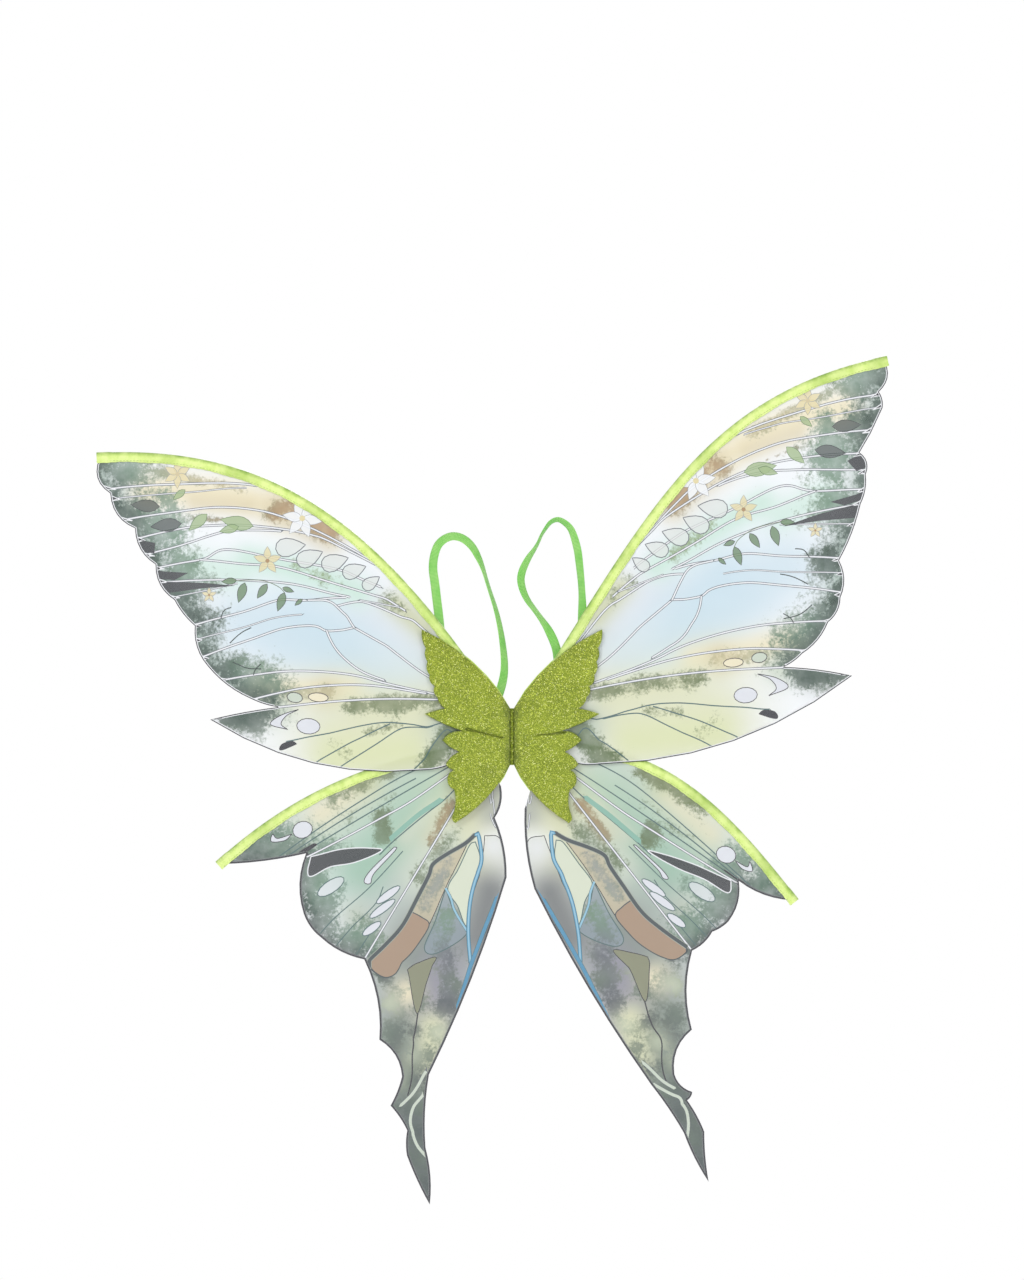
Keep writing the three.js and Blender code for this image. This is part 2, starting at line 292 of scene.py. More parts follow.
# %% Tape, patch, lining, elastic and thread materials
def satin_tape():
    paint = Paint("casing_satin", Roughness=0.35, Specular_IOR_Level=0.5, Sheen_Weight=0.3)
    through = paint.ramp(paint.noise(24, 3, 0.5), 0.46, 0.72)
    streak = paint.ramp(paint.noise(150, 3, 0.6), 0.4, 0.7)
    # Painted shade: the tape darkens to deep green along its outer fold edge, round the rod.
    ridge = paint.ramp(paint.attribute("ridge")["Fac"], 0.52, 0.8)
    base = paint.mix(streak * 0.55, (222, 240, 150), (184, 218, 84))
    soft = paint.mix(through * 0.6, base, (150, 184, 74))
    paint.into("Base Color", paint.mix(ridge * (0.35 + 0.5 * streak), soft, (112, 156, 48)))
    paint.bump(paint.wave("DIAGONAL", 380, 0.6) + paint.noise(300, 2), 0.0001, 0.6)
    return paint.material


def glitter_foam():
    paint = Paint("glitter_foam", Roughness=0.5, Specular_IOR_Level=0.5)
    spark = paint.grains(1500, "Red")
    base = paint.mix(paint.clouds(60, 3), (106, 124, 16), (132, 150, 26))
    # Painted glints: grains above 0.72 are painted lighter, and those above 0.95 nearly white.
    light = paint.mix(spark > 0.72, base, (178, 190, 66))
    painted_glints = paint.mix(spark > 0.95, light, (228, 234, 150))
    # Painted shade: the foam turns dark olive where its front sits low, most in the creases.
    paint.into("Base Color", paint.mix(paint.attribute("hollow")["Fac"] * 0.8, painted_glints, (66, 82, 8)))
    paint.into("Roughness", paint.ramp(spark, 0.0, 1.0, 0.7, 0.25))
    paint.bump(spark, 0.0003, 0.8)
    return paint.material


def glitter_flake():
    paint = Paint("glitter_flake", Metallic=0.75, Roughness=0.22)
    paint.into("Base Color", paint.mix(paint.grains(900, "Green"), (136, 154, 34), (200, 210, 92)))
    return paint.material


def felt_lining():
    paint = Paint("felt_lining", Roughness=0.9, Sheen_Weight=0.4)
    fuzz = paint.noise(900, 5, 0.7)
    base = paint.mix(paint.clouds(70), (205, 232, 92), (222, 244, 132))
    paint.into("Base Color", paint.mix(paint.ramp(fuzz, 0.35, 0.6), (178, 206, 70), base))
    paint.bump(fuzz, 0.0003, 0.7)
    return paint.material


def woven_elastic():
    paint = Paint("woven_elastic", Roughness=0.55, Specular_IOR_Level=0.4, Sheen_Weight=0.25)
    ribs = paint.math("SINE", paint.attribute("along")["Fac"] * 5200.0)
    cords = paint.math("SINE", paint.attribute("across")["Fac"] * 7000.0)
    weave = ribs * 0.5 + cords * 0.5
    base = paint.mix(paint.clouds(50, 3), (124, 208, 88), (182, 232, 138))
    paint.into("Base Color", paint.mix(paint.ramp(weave, -0.6, 0.4), (104, 186, 76), base))
    paint.bump(weave, 0.00015, 0.8)
    return paint.material


def sewing_thread():
    paint = Paint("sewing_thread", Roughness=0.55, Sheen_Weight=0.3)
    twist = paint.noise(2200, 2, 0.5)
    paint.into("Base Color", paint.mix(twist, (150, 178, 82), (196, 216, 132)))
    paint.bump(twist, 0.00008, 0.7)
    return paint.material


def twill_tape():
    paint = Paint("twill_tape", Roughness=0.75, Sheen_Weight=0.25)
    twill = paint.wave("DIAGONAL", 500, 0.3)
    paint.into("Base Color", paint.mix(twill, (132, 156, 62), (160, 182, 84)))
    paint.bump(twill, 0.00015, 0.7)
    return paint.material


def moulded_plastic(name, colour, mark_colour, roughness):
    paint = Paint(name, Roughness=roughness, Coat_Weight=0.2)
    mark = paint.ramp(paint.noise(400), 0.4, 0.7)
    paint.into("Base Color", paint.mix(mark * 0.35, colour, mark_colour))
    paint.into("Roughness", paint.ramp(mark, 0, 1, roughness, roughness + 0.18))
    paint.bump(mark, 0.00005, 0.5)
    return paint.material


def room_floor():
    paint = Paint("floor", Roughness=0.8, Specular_IOR_Level=0.1, Emission_Color=(1, 1, 1, 1),
                  Emission_Strength=0.2)
    paint.into("Base Color", paint.mix(paint.clouds(2), (247, 247, 247), (250.5, 250.5, 250.5)))
    return paint.material


MATERIAL = {
    "cloth": wing_cloth(),
    "tape": satin_tape(),
    "foam": glitter_foam(),
    "flake": glitter_flake(),
    "lining": felt_lining(),
    "elastic": woven_elastic(),
    "thread": sewing_thread(),
    "twill": twill_tape(),
    "rod": moulded_plastic("rod_plastic", (232, 232, 224), (198, 198, 181), 0.3),
    "cap": moulded_plastic("cap_plastic", (214, 226, 186), (183, 193, 150), 0.35),
    "floor": room_floor(),
}
print("materials:", ", ".join(MATERIAL))

# %% [markdown]
# Each flat frame piece gives its outline in plan, seen from the front. An outline is the loop of
# edges that only one front face uses. Reading it from the frame keeps every piece the right size.

# %% Outlines and paths from the frame
def plan(point):
    return (round(point.x / MM, 3), round(point.z / MM, 3))


def plan_outline(name):
    mesh = frame["nodes"][name].data
    front = min(vertex.co.y for vertex in mesh.vertices)
    follows = {}
    for face in mesh.polygons:
        corners = [mesh.vertices[index].co for index in face.vertices]
        if all(corner.y < front + 1e-5 for corner in corners):
            spots = [plan(corner) for corner in corners]
            for start, end in zip(spots, spots[1:] + spots[:1]):
                follows.setdefault(start, set()).add(end)
    rim = {start: end for start, ends in follows.items()
           for end in ends if start not in follows.get(end, ())}
    loop = [next(iter(rim))]
    while rim[loop[-1]] != loop[0]:
        loop.append(rim[loop[-1]])
    return np.array(loop)


def pivot(joint_name):
    joint = next(item for item in frame["joints"] if item["name"] == joint_name)
    return np.array([joint["pos_m"][0], joint["pos_m"][2]]) / MM, joint["pos_m"][1]


def rod_line(name, root):
    mesh = frame["nodes"][name].data
    back = max(vertex.co.y for vertex in mesh.vertices)
    spots = {plan(vertex.co) for vertex in mesh.vertices if vertex.co.y > back - 1e-5}
    return np.array(sorted(spots, key=lambda spot: math.dist(spot, root)))


def walk(line):
    """How far along a line each of its points is."""
    steps = np.hypot(*np.diff(line, axis=0).T)
    return np.concatenate([[0.0], np.cumsum(steps)])


def on_line(line, share):
    far = walk(line)
    reach = np.clip(share, 0.0, 1.0) * far[-1]
    return np.stack([np.interp(reach, far, line[:, 0]), np.interp(reach, far, line[:, 1])], axis=-1)


def respaced(line, step):
    count = max(2, int(walk(line)[-1] / step) + 1)
    return on_line(line, np.linspace(0, 1, count))


def smooth(points, per_span=8):
    """A curve through given points."""
    knots = np.array(points, dtype=float)
    knots = np.vstack([2 * knots[0] - knots[1], knots, 2 * knots[-1] - knots[-2]])
    out = []
    for a, b, c, d in zip(knots, knots[1:], knots[2:], knots[3:]):
        for t in np.arange(per_span) / per_span:
            out.append(0.5 * (2 * b + (c - a) * t + (2 * a - 5 * b + 4 * c - d) * t ** 2
                              + (3 * b - a - 3 * c + d) * t ** 3))
    out.append(knots[-2])
    return np.array(out)


def inside(points, loop):
    """Which points lie inside a closed loop, by counting the edges to their right."""
    x, z = points[:, 0], points[:, 1]
    odd = np.zeros(len(points), dtype=bool)
    for (x1, z1), (x2, z2) in zip(loop, np.roll(loop, -1, axis=0)):
        if z1 != z2:
            between = (z1 > z) != (z2 > z)
            odd ^= between & (x < (x2 - x1) * (z - z1) / (z2 - z1) + x1)
    return odd


def distance_to(points, line):
    """The distance from each point to a line of short straight steps."""
    best = np.full(len(points), 1e9)
    for start, end in zip(line[:-1], line[1:]):
        along = end - start
        length = float(along @ along) or 1e-9
        share = np.clip(((points - start) @ along) / length, 0, 1)
        gap = points - start - share[:, None] * along
        best = np.minimum(best, np.einsum("ij,ij->i", gap, gap))
    return np.sqrt(best)


for wing in ("left_forewing", "right_hindwing"):
    print(wing, "outline points:", len(plan_outline(wing + "_panel")))

# %% [markdown]
# A wing's print follows its shape: the veins fan out from the root and end on the margin. So the
# pattern is drawn once, in two numbers: `u` runs from the root out to the margin, and `w` runs
# from a sector's upper edge to its lower one, both in hundredths of the way. A Coons patch turns
# such a pair into a place on either wing, and the print fits both although they hang differently.

# %% Sectors of a wing
class Sector:
    def __init__(self, upper, lower, margin):
        self.upper = upper
        self.lower = lower
        self.margin = margin

    def at(self, pairs):
        u, w = np.array(pairs, dtype=float).T / 100
        over = np.maximum(u - 1, 0)[:, None]
        u = np.minimum(u, 1)
        ruled = (1 - w)[:, None] * on_line(self.upper, u) + w[:, None] * on_line(self.lower, u)
        chord = (1 - w)[:, None] * self.upper[-1] + w[:, None] * self.lower[-1]
        place = ruled + u[:, None] * (on_line(self.margin, w) - chord)
        return place + over * (place - self.upper[0])

    def line(self, pairs):
        return self.at(smooth(pairs))


def corner_index(outline, root, side, reach, angle):
    turn = math.radians(angle)
    spot = root + reach * np.array([side * math.cos(turn), math.sin(turn)])
    return int(np.argmin(np.hypot(*(outline - spot).T)))


def stretch_between(outline, first, last):
    """The outline's points from one corner to another, the short way round."""
    count = len(outline)
    forward = [(first + i) % count for i in range((last - first) % count + 1)]
    backward = [(first - i) % count for i in range((first - last) % count + 1)]
    return min((outline[forward], outline[backward]), key=lambda line: walk(line)[-1])


# %% The wings' outlines, corners and sectors
# Each corner is found on the outline from its reach in millimetres and its angle in degrees.
CORNERS = {
    "left_forewing": {"tip": (419, 32), "notch": (195, -1.3), "lobe_tip": (256, -3.5),
                      "heel": (88, -44)},
    "right_forewing": {"tip": (444, 44), "notch": (231, 7.9), "lobe_tip": (291, 4.7),
                       "heel": (85, -41)},
    "left_hindwing": {"tip": (270, -23.5), "notch": (197, -30.5), "waist": (228, -59),
                      "tail_tip": (420, -82), "groin": (68, -90)},
    "right_hindwing": {"tip": (277, -30.5), "notch": (226, -33.5), "waist": (238, -52),
                       "tail_tip": (427, -67.8), "groin": (60, -94)},
}


class WingPlan:
    def __init__(self, name):
        self.name = name
        self.side = SIDES[name.split("_")[0]]
        self.root, self.plane = pivot(name + "_sweep")
        self.outline = plan_outline(name + "_panel")
        self.rod = rod_line(name + "_rod", self.root)
        self.corner = {key: corner_index(self.outline, self.root, self.side, *place)
                       for key, place in CORNERS[name].items()}

    def spot(self, key):
        return self.outline[self.corner[key]]

    def edge(self, first, last):
        return stretch_between(self.outline, self.corner[first], self.corner[last])

    def ray(self, key, arch=0.0):
        """A nearly straight line from the root to a corner, arched upwards by a share of it."""
        end = self.spot(key)
        share = np.linspace(0, 1, 24)[:, None]
        line = self.root + (end - self.root) * share
        line[:, 1] += arch * math.dist(end, self.root) * 4 * (share * (1 - share))[:, 0]
        return line


PLANS = {name: WingPlan(name) for name in CORNERS}


def fore_sectors(wing):
    return {
        "upper": Sector(wing.rod, wing.ray("notch", 0.04), wing.edge("tip", "notch")),
        "lobe": Sector(wing.ray("notch", 0.04), np.vstack([wing.root, wing.edge("heel", "lobe_tip")]),
                       wing.edge("notch", "lobe_tip")),
    }


def hind_sectors(wing):
    inner = np.vstack([wing.root, wing.edge("groin", "tail_tip")])
    outer = np.vstack([wing.ray("waist"), wing.edge("waist", "tail_tip")])
    tail_end = wing.edge("tail_tip", "tail_tip")
    return {
        "upper": Sector(wing.rod, wing.ray("notch"), wing.edge("tip", "notch")),
        "middle": Sector(wing.ray("notch"), wing.ray("waist"), wing.edge("notch", "waist")),
        "tail": Sector(outer, inner, np.vstack([tail_end, tail_end])),
    }


for wing in PLANS.values():
    wing.sectors = fore_sectors(wing) if "forewing" in wing.name else hind_sectors(wing)
    print(wing.name, "rod", round(walk(wing.rod)[-1]), "mm, sectors:", ", ".join(wing.sectors))

# %% [markdown]
# The print is a stack, in the order a printer lays it: broad brushed washes, then cells with
# their own colour, then the veins, which are a double grey line round a pale core. Every line
# and cell edge becomes an edge of the mesh, so the colours meet crisply.

# %% The printed layers
# A line is a stack of bands, each with its half width in millimetres and its ink.
VEIN = ((0.6, "core"), (1.15, "line"))
THIN_VEIN = ((0.35, "core"), (0.8, "line"))
TEAL_VEIN = ((0.55, "dark_teal"),)
THIN_TEAL = ((0.45, "dark_teal"),)
CELL_LINE = ((0.35, "charcoal"),)
BLACK_VEIN = ((0.6, "charcoal"),)
PALE_EDGE = ((0.5, "core"),)


class Print:
    def __init__(self, wing):
        self.wing = wing
        self.strokes = []
        self.layers = []

    def place(self, sector, pairs, curved=True):
        area = self.wing.sectors[sector]
        return area.line(pairs) if curved and len(pairs) > 2 else area.at(pairs)

    def spot(self, sector, u, w):
        return self.place(sector, [(u, w)])[0]

    def brush(self, kind, sector, radius, ink, amount, pairs):
        """One soft stroke. The ink itself is washed on, and a blot is broken up by noise."""
        self.strokes.append((kind, self.place(sector, pairs), radius, INK[ink], amount))

    def vein(self, sector, pairs, bands=VEIN):
        self.layers.append(("line", respaced(self.place(sector, pairs), 2.6), bands))

    def cell(self, sector, pairs, ink, bands=CELL_LINE, curved=True, fill=1.0, mottle=0.0):
        loop = self.place(sector, list(pairs) + [pairs[0]], curved)
        self.shape(loop, ink, bands, fill, mottle)

    def shape(self, loop, ink, bands=CELL_LINE, fill=1.0, mottle=0.0):
        self.layers.append(("area", loop, INK[ink], fill, mottle))
        if bands:
            self.layers.append(("line", loop, bands))


def oval(centre, length, width, turn, steps=14):
    """An oval, with its long side turned up from straight outwards on either wing."""
    angles = np.linspace(0, 2 * math.pi, steps + 1)
    along = np.stack([length / 2 * np.cos(angles), width / 2 * np.sin(angles)], axis=-1)
    return centre + along @ turned(turn)


def leaf(base, length, width, turn, steps=7):
    """A pointed leaf or petal that grows from its base."""
    share = np.linspace(0, 1, steps)
    half = width / 2 * np.sin(math.pi * share ** 0.8)
    upper = np.stack([length * share, half], axis=-1)
    lower = np.stack([length * share, -half], axis=-1)[::-1]
    return base + np.vstack([upper, lower[1:]]) @ turned(turn)


def teardrop(base, length, width, turn, steps=14):
    """A petal with a pointed base and a round end."""
    angles = np.linspace(0, 2 * math.pi, steps + 1)
    along = length / 2 * (1 - np.cos(angles))
    half = width * 0.65 * np.sin(angles) * np.sin(angles / 2)
    return base + np.stack([along, half], axis=-1) @ turned(turn)


def turned(degrees):
    cos, sin = math.cos(math.radians(degrees)), math.sin(math.radians(degrees))
    return np.array([[cos, sin], [-sin, cos]])


def paint_at(points, strokes):
    """The washed colour and the blot at each point."""
    ink = np.tile(INK["white"], (len(points), 1))
    blot = np.tile(INK["moss"], (len(points), 1))
    amount = np.zeros(len(points))
    for kind, line, radius, colour, strength in strokes:
        gap = np.hypot(*(points - line[0]).T) if len(line) == 1 else distance_to(points, line)
        cover = (strength * np.exp(-((gap / radius) ** 2)))[:, None]
        if kind == "ink":
            ink = ink * (1 - cover) + np.array(colour) * cover
        else:
            blot = blot * (1 - cover) + np.array(colour) * cover
            amount = np.maximum(amount, cover[:, 0])
    return ink, np.column_stack([blot, amount])

# %% [markdown]
# The cloth is cut as one flat triangulated sheet. A constrained Delaunay triangulation takes the
# outline, both sides of every printed line and a loose grid for the washes, and keeps all of them
# as edges. Knife cuts or booleans could do the same, but they are slow with hundreds of lines.

# %% Cut a sheet from lines
GRID = 4.2
RIM_STEP = 3.0


def beside(line, offset):
    closed = np.allclose(line[0], line[-1])
    before = np.vstack([line[-2] if closed else line[0], line[:-1]])
    after = np.vstack([line[1:], line[1] if closed else line[-1]])
    along = after - before
    along /= np.maximum(np.hypot(*along.T), 1e-6)[:, None]
    return line + offset * np.stack([-along[:, 1], along[:, 0]], axis=-1)


def closed_rim(outline, step=RIM_STEP):
    """The outline with every edge cut into short steps, its corners kept."""
    points = []
    for start, end in zip(outline, np.roll(outline, -1, axis=0)):
        count = max(1, round(math.dist(start, end) / step))
        points += [start + (end - start) * i / count for i in range(count)]
    return np.array(points + [points[0]])


def cut_sheet(outline, lines, grid=GRID):
    """Triangles that fill the outline and keep the lines as edges, in plan millimetres."""
    low, high = outline.min(axis=0), outline.max(axis=0)
    spots, edges = [], []
    for line in [closed_rim(outline)] + lines:
        first = len(spots)
        spots += [Vector(point) for point in line]
        edges += [(first + i, first + i + 1) for i in range(len(line) - 1)]
    for row, z in enumerate(np.arange(low[1], high[1], grid * 0.87)):
        start = low[0] + (row % 2) * grid / 2
        spots += [Vector((x, z)) for x in np.arange(start, high[0], grid)]
    made, _, faces, *_ = geometry.delaunay_2d_cdt(spots, edges, [], 0, 0.02)
    made = np.array([tuple(point) for point in made])
    faces = np.array(faces)
    centres = made[faces].mean(axis=1)
    return made, faces[inside(centres, outline)]


def print_lines(art):
    """Both sides of every printed band, and the edge of every cell."""
    lines = []
    for kind, line, *look in art.layers:
        if kind == "line":
            lines += [beside(line, way * half) for half, _ in look[0] for way in (1, -1)]
        else:
            lines.append(line)
    return lines


def near_box(points, line, margin):
    low, high = line.min(axis=0) - margin, line.max(axis=0) + margin
    return np.flatnonzero(((points > low) & (points < high)).all(axis=1))


def coloured(art, made, faces):
    """The ink and the blot at every corner of every face."""
    ink, blot = (values[faces] for values in paint_at(made, art.strokes))
    centres = made[faces].mean(axis=1)
    for kind, line, *look in art.layers:
        if kind == "area":
            fill_area(centres, line, ink, blot, *look)
        else:
            fill_line(centres, line, ink, blot, *look)
    return ink, blot


def fill_area(centres, loop, ink, blot, colour, fill, mottle):
    near = near_box(centres, loop, 0)
    hit = near[inside(centres[near], loop)]
    ink[hit] = ink[hit] * (1 - fill) + np.array(colour) * fill
    blot[hit, :, 3] *= max(1 - fill, mottle)


def fill_line(centres, line, ink, blot, bands):
    widest = bands[-1][0]
    near = near_box(centres, line, widest + 1)
    gap = distance_to(centres[near], line)
    inner = 0.0
    for half, name in bands:
        hit = near[(gap >= inner) & (gap < half)]
        ink[hit] = INK[name]
        blot[hit, :, 3] = 0
        inner = half


# %% Make a mesh and give it colour
def put_in_scene(name, mesh):
    made = bpy.data.objects.new(name, mesh)
    bpy.context.collection.objects.link(made)
    return made


def new_object(name, vertices, faces, material, smooth_faces=True):
    mesh = bpy.data.meshes.new(name)
    mesh.from_pydata([tuple(vertex) for vertex in vertices], [], [tuple(face) for face in faces])
    mesh.update()
    mesh.materials.append(MATERIAL[material])
    mesh.polygons.foreach_set("use_smooth", [smooth_faces] * len(mesh.polygons))
    return put_in_scene(name, mesh)


def paint_corners(made, name, values):
    layer = made.data.color_attributes.new(name, "FLOAT_COLOR", "CORNER")
    if values.shape[-1] == 3:
        values = np.concatenate([values, np.ones(values.shape[:-1] + (1,))], axis=-1)
    layer.data.foreach_set("color", values.astype(np.float32).ravel())


def thicken(made, thickness):
    wall = made.modifiers.new("thickness", "SOLIDIFY")
    wall.thickness = thickness
    wall.offset = 0


def attach(made, body, nodes=()):
    """Puts a piece on the body it rides on and hides the frame pieces it stands for."""
    if nodes:
        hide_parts(*nodes)
    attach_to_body(made, body)
    return made


# %% [markdown]
# Sheer cloth on a sprung rod isn't flat. It is tight beside the rod and at the patch, and loose
# ripples run outwards between the veins. They are a sum of waves over the angle round the root,
# which grow with the distance. Cloth simulation would find its own creases, but these must stay
# clear of the other wing, so the forewing only ripples to the front and the hindwing to the back.

# %% Ripples
PLEAT_HEIGHT = 2.0
PLEAT_HALF_WIDTH = 2.4
CLOTH_THICKNESS = 0.25
RIPPLE = {"left_forewing": 4.2, "right_forewing": 4.8, "left_hindwing": 4.0, "right_hindwing": 4.0}


def eased(value, low, high):
    share = np.clip((value - low) / (high - low), 0, 1)
    return share * share * (3 - 2 * share)


def ripple(wing, points):
    from_root = points - wing.root
    reach = np.hypot(*from_root.T)
    angle = np.arctan2(from_root[:, 1], from_root[:, 0] * wing.side)
    loose = eased(reach, 85, 260) * eased(distance_to(points, wing.rod), 6, 48)
    phase = 1.7 * wing.side + wing.root[1] / 9
    waves = (np.sin(17 * angle + phase + reach / 130) + 0.55 * np.sin(31 * angle - reach / 85 + phase)
             + 0.35 * np.sin(9 * angle + reach / 38))
    return RIPPLE[wing.name] * loose * (0.5 + 0.26 * waves) + pleat(wing, points, reach)


def pleat(wing, points, reach):
    """The right hindwing has a sharp little fold from its root to its notch."""
    if wing.name != "right_hindwing":
        return 0.0
    gap = distance_to(points, wing.ray("notch"))
    return PLEAT_HEIGHT * np.exp(-((gap / PLEAT_HALF_WIDTH) ** 2)) * eased(reach, 70, 110)


def signed_areas(made, faces):
    first, second, third = (made[faces[:, i]] for i in range(3))
    return np.cross(second - first, third - first) / 2


def hang_cloth(wing, art):
    made, faces = cut_sheet(wing.outline, print_lines(art))
    ink, blot = coloured(art, made, faces)
    forward = -1 if "forewing" in wing.name else 1
    depth = wing.plane + forward * ripple(wing, made) * MM
    vertices = np.column_stack([made[:, 0] * MM, depth, made[:, 1] * MM])
    flip = signed_areas(made, faces) < 0
    for values in (faces, ink, blot):
        values[flip] = values[flip][:, ::-1]
    used, compact = np.unique(faces, return_inverse=True)
    sheet = new_object(wing.name + "_cloth", vertices[used], compact.reshape(faces.shape), "cloth")
    paint_corners(sheet, "ink", ink)
    paint_corners(sheet, "blot", blot)
    thicken(sheet, CLOTH_THICKNESS * MM)
    attach(sheet, wing.name, [wing.name + "_panel"])
    area = float(signed_areas(made, faces).sum()) * MM * MM
    print(sheet.name, "triangles:", len(faces), "area m2:", round(area, 4))
    return sheet, area, (wing.outline.max(axis=0) - wing.outline.min(axis=0)) * MM
# %% [markdown]
# The forewing's print. Brown and cream brushwork lies under the leading edge, then pale blue sky
# between the veins, and a mottled green margin. Petals, leaves and flowers lie over it. The
# washes come first, because everything else is printed over them.
#
# Each row is one stroke of a soft brush: its radius in millimetres, its ink, its strength, and
# the places it visits as (u, w) in hundredths.

# %% Forewing washes
FORE_WASHES = {
    "upper": [
        (60, "white", 0.7, [(50, 25), (90, 20)]),
        (34, "lilac_white", 0.8, [(30, 50), (45, 50)]),
        (36, "pale_blue", 1, [(35, 80), (60, 75), (85, 62)]),
        (40, "sky", 0.9, [(55, 70), (66, 60)]),
        (14, "mint", 1, [(45, 33), (60, 36), (75, 36)]),
        (16, "mint", 0.8, [(80, 43), (90, 40)]),
        (17, "cream", 1, [(62, 7), (78, 10), (92, 12)]),
        (15, "sand", 0.8, [(50, 8), (62, 8)]),
        (9, "sand", 0.5, [(70, 12), (82, 15)]),
        (12, "yellow_green", 0.8, [(24, 20), (33, 22)]),
        (16, "cream", 1, [(62, 93), (78, 92), (92, 88)]),
        (14, "sand", 0.9, [(72, 95)]),
        (15, "margin_light", 0.7, [(100, 2), (100, 50), (99, 95)]),
    ],
    "lobe": [
        (50, "pale_yellow", 0.85, [(35, 50), (60, 60)]),
        (16, "pale_yellow", 0.9, [(30, 15), (60, 15)]),
        (22, "lime_wash", 0.9, [(36, 75), (60, 85)]),
        (20, "sage", 0.9, [(20, 60)]),
        (14, "pale_sage", 0.9, [(93, 20)]),
        (14, "green_grey", 0.9, [(97, 60)]),
    ],
}
FORE_BLOTS = {
    "upper": [
        (17, "tan", 1, [(50, 5), (57, 5)]),
        (12, "tan", 0.85, [(61, 6), (64, 12)]),
        (7, "sand", 0.8, [(70, 5), (90, 4)]),
        (4, "tan", 0.7, [(76, 20), (88, 21)]),
        (11, "olive", 0.7, [(30, 20), (36, 24)]),
        (9, "light_leaf", 0.65, [(50, 34), (62, 33)]),
        (16, "margin_light", 0.8, [(88, 14), (90, 24)]),
        (9, "sand", 0.8, [(70, 94), (86, 93)]),
    ],
    "lobe": [
        (11, "olive", 0.85, [(25, 10), (45, 10), (65, 12)]),
        (8, "olive", 0.62, [(42, 40), (52, 50)]),
        (11, "olive", 0.55, [(56, 82), (62, 70)]),
        (15, "moss", 1, [(19, 72), (23, 88), (29, 100)]),
        (18, "dark_green", 1, [(94, 60), (100, 80)]),
    ],
}


def margin_clouds(art, sector, radius):
    """Dark, green and light clouds by turns along the margin."""
    for w in np.arange(3, 100, 8.5):
        pick = int(round(w / 2)) % 3
        ink = ("margin_green", "dark_green", "margin_light")[pick]
        art.brush("blot", sector, radius * (0.75 + 0.25 * pick), ink, 0.95, [(100 - 3 * pick, w)])
    art.brush("blot", sector, radius * 0.5, "deep_green", 0.9, [(101, 2), (101, 50), (101, 97)])


def lay_colour(art, washes, blots, clouds):
    """All the washes, then the blots, with clouds along the margins that have them."""
    for sector, rows in washes.items():
        for row in rows:
            art.brush("ink", sector, *row)
    for sector, rows in blots.items():
        for row in rows:
            art.brush("blot", sector, *row)
        if sector in clouds:
            margin_clouds(art, sector, clouds[sector])


# %% Forewing veins
FORE_VEINS = {
    "upper": [
        (VEIN, [(67, 2), (84, 8), (103, 10.8)]),
        (THIN_VEIN, [(69, 4), (85, 12), (103, 14.5)]),
        (VEIN, [(37, 3), (47, 7), (61, 11), (76, 15), (88, 19), (103, 22)]),
        (VEIN, [(38, 4), (48, 10), (63, 17), (76, 22), (87, 26), (103, 30)]),
        (VEIN, [(63, 18), (78, 26), (90, 32), (103, 35.5)]),
        (VEIN, [(37, 17), (47, 25), (60, 31), (69, 33), (80, 33), (88, 38), (103, 40.8)]),
        (VEIN, [(30, 20), (42, 30), (55, 36), (68, 37), (78, 39), (88, 38)]),
        (VEIN, [(49, 40), (55, 42), (64, 43), (76, 44.5), (88, 45), (103, 44.8)]),
        (THIN_VEIN, [(80, 46), (90, 49), (103, 51.2)]),
        (VEIN, [(50, 41), (62, 49), (71, 52), (84, 58), (103, 62.2)]),
        (THIN_VEIN, [(66, 57), (75, 60), (86, 64), (103, 66.5)]),
        (VEIN, [(50, 57), (55, 61), (60, 63), (64, 62), (73, 64), (84, 68), (103, 72.5)]),
        (VEIN, [(60, 63), (56, 72), (51, 80), (44, 85)]),
        (VEIN, [(25, 95), (45, 87), (55, 83), (75, 81), (88, 81), (103, 81)]),
        (VEIN, [(30, 95), (50, 90), (75, 90), (88, 91), (103, 92.2)]),
        (VEIN, [(2, 90), (22, 75), (35, 65), (50, 57)]),
        (VEIN, [(3, 40), (24, 25), (33, 31), (44, 38), (53, 47)]),
        (THIN_VEIN, [(32, 22), (46, 39)]),
        (VEIN, [(62, 49), (55, 46), (52, 50), (50, 57)]),
        (THIN_VEIN, [(2, 10), (20, 7), (37, 3)]),
    ],
    "lobe": [
        (TEAL_VEIN, [(5, 50), (28, 43), (37, 38), (47, 36), (57, 43), (70, 63), (77, 80)]),
        (TEAL_VEIN, [(28, 44), (35, 42), (41, 45), (47.5, 64), (54, 86), (57.5, 102)]),
        (TEAL_VEIN, [(45, 38), (50, 48), (57, 66), (63, 90), (65, 102)]),
        (TEAL_VEIN, [(17, 90), (21, 62), (26, 70), (30, 83), (34.5, 102)]),
        (VEIN, [(2, 10), (15, 5), (50, 4), (80, 5), (100, 8)]),
    ],
}


def draw_veins(art, veins):
    for sector, rows in veins.items():
        for bands, pairs in rows:
            art.vein(sector, pairs, bands)


# %% [markdown]
# The small shapes are made by rule: a petal is a teardrop, a flower is pointed leaves turned
# round a centre, and a spray of leaves grows from points along its stalk.

# %% Petals, flowers and leaf sprays
def outwards(art, turn):
    """A direction given for the right wing, mirrored on the left one."""
    return turn if art.wing.side > 0 else 180 - turn


def flower(art, sector, place, radius, ink, heart, petals=5, start=90):
    """Petals turned round a centre, the first at the start angle, with a small round heart."""
    centre = art.spot(sector, *place)
    for i in range(petals):
        turn = outwards(art, start + i * 360 / petals)
        art.shape(leaf(centre, radius, radius * 0.5, turn), ink, ((0.2, "pale_line"),), 0.85)
    art.shape(oval(centre, radius * 0.3, radius * 0.3, 0, 8), heart, ())


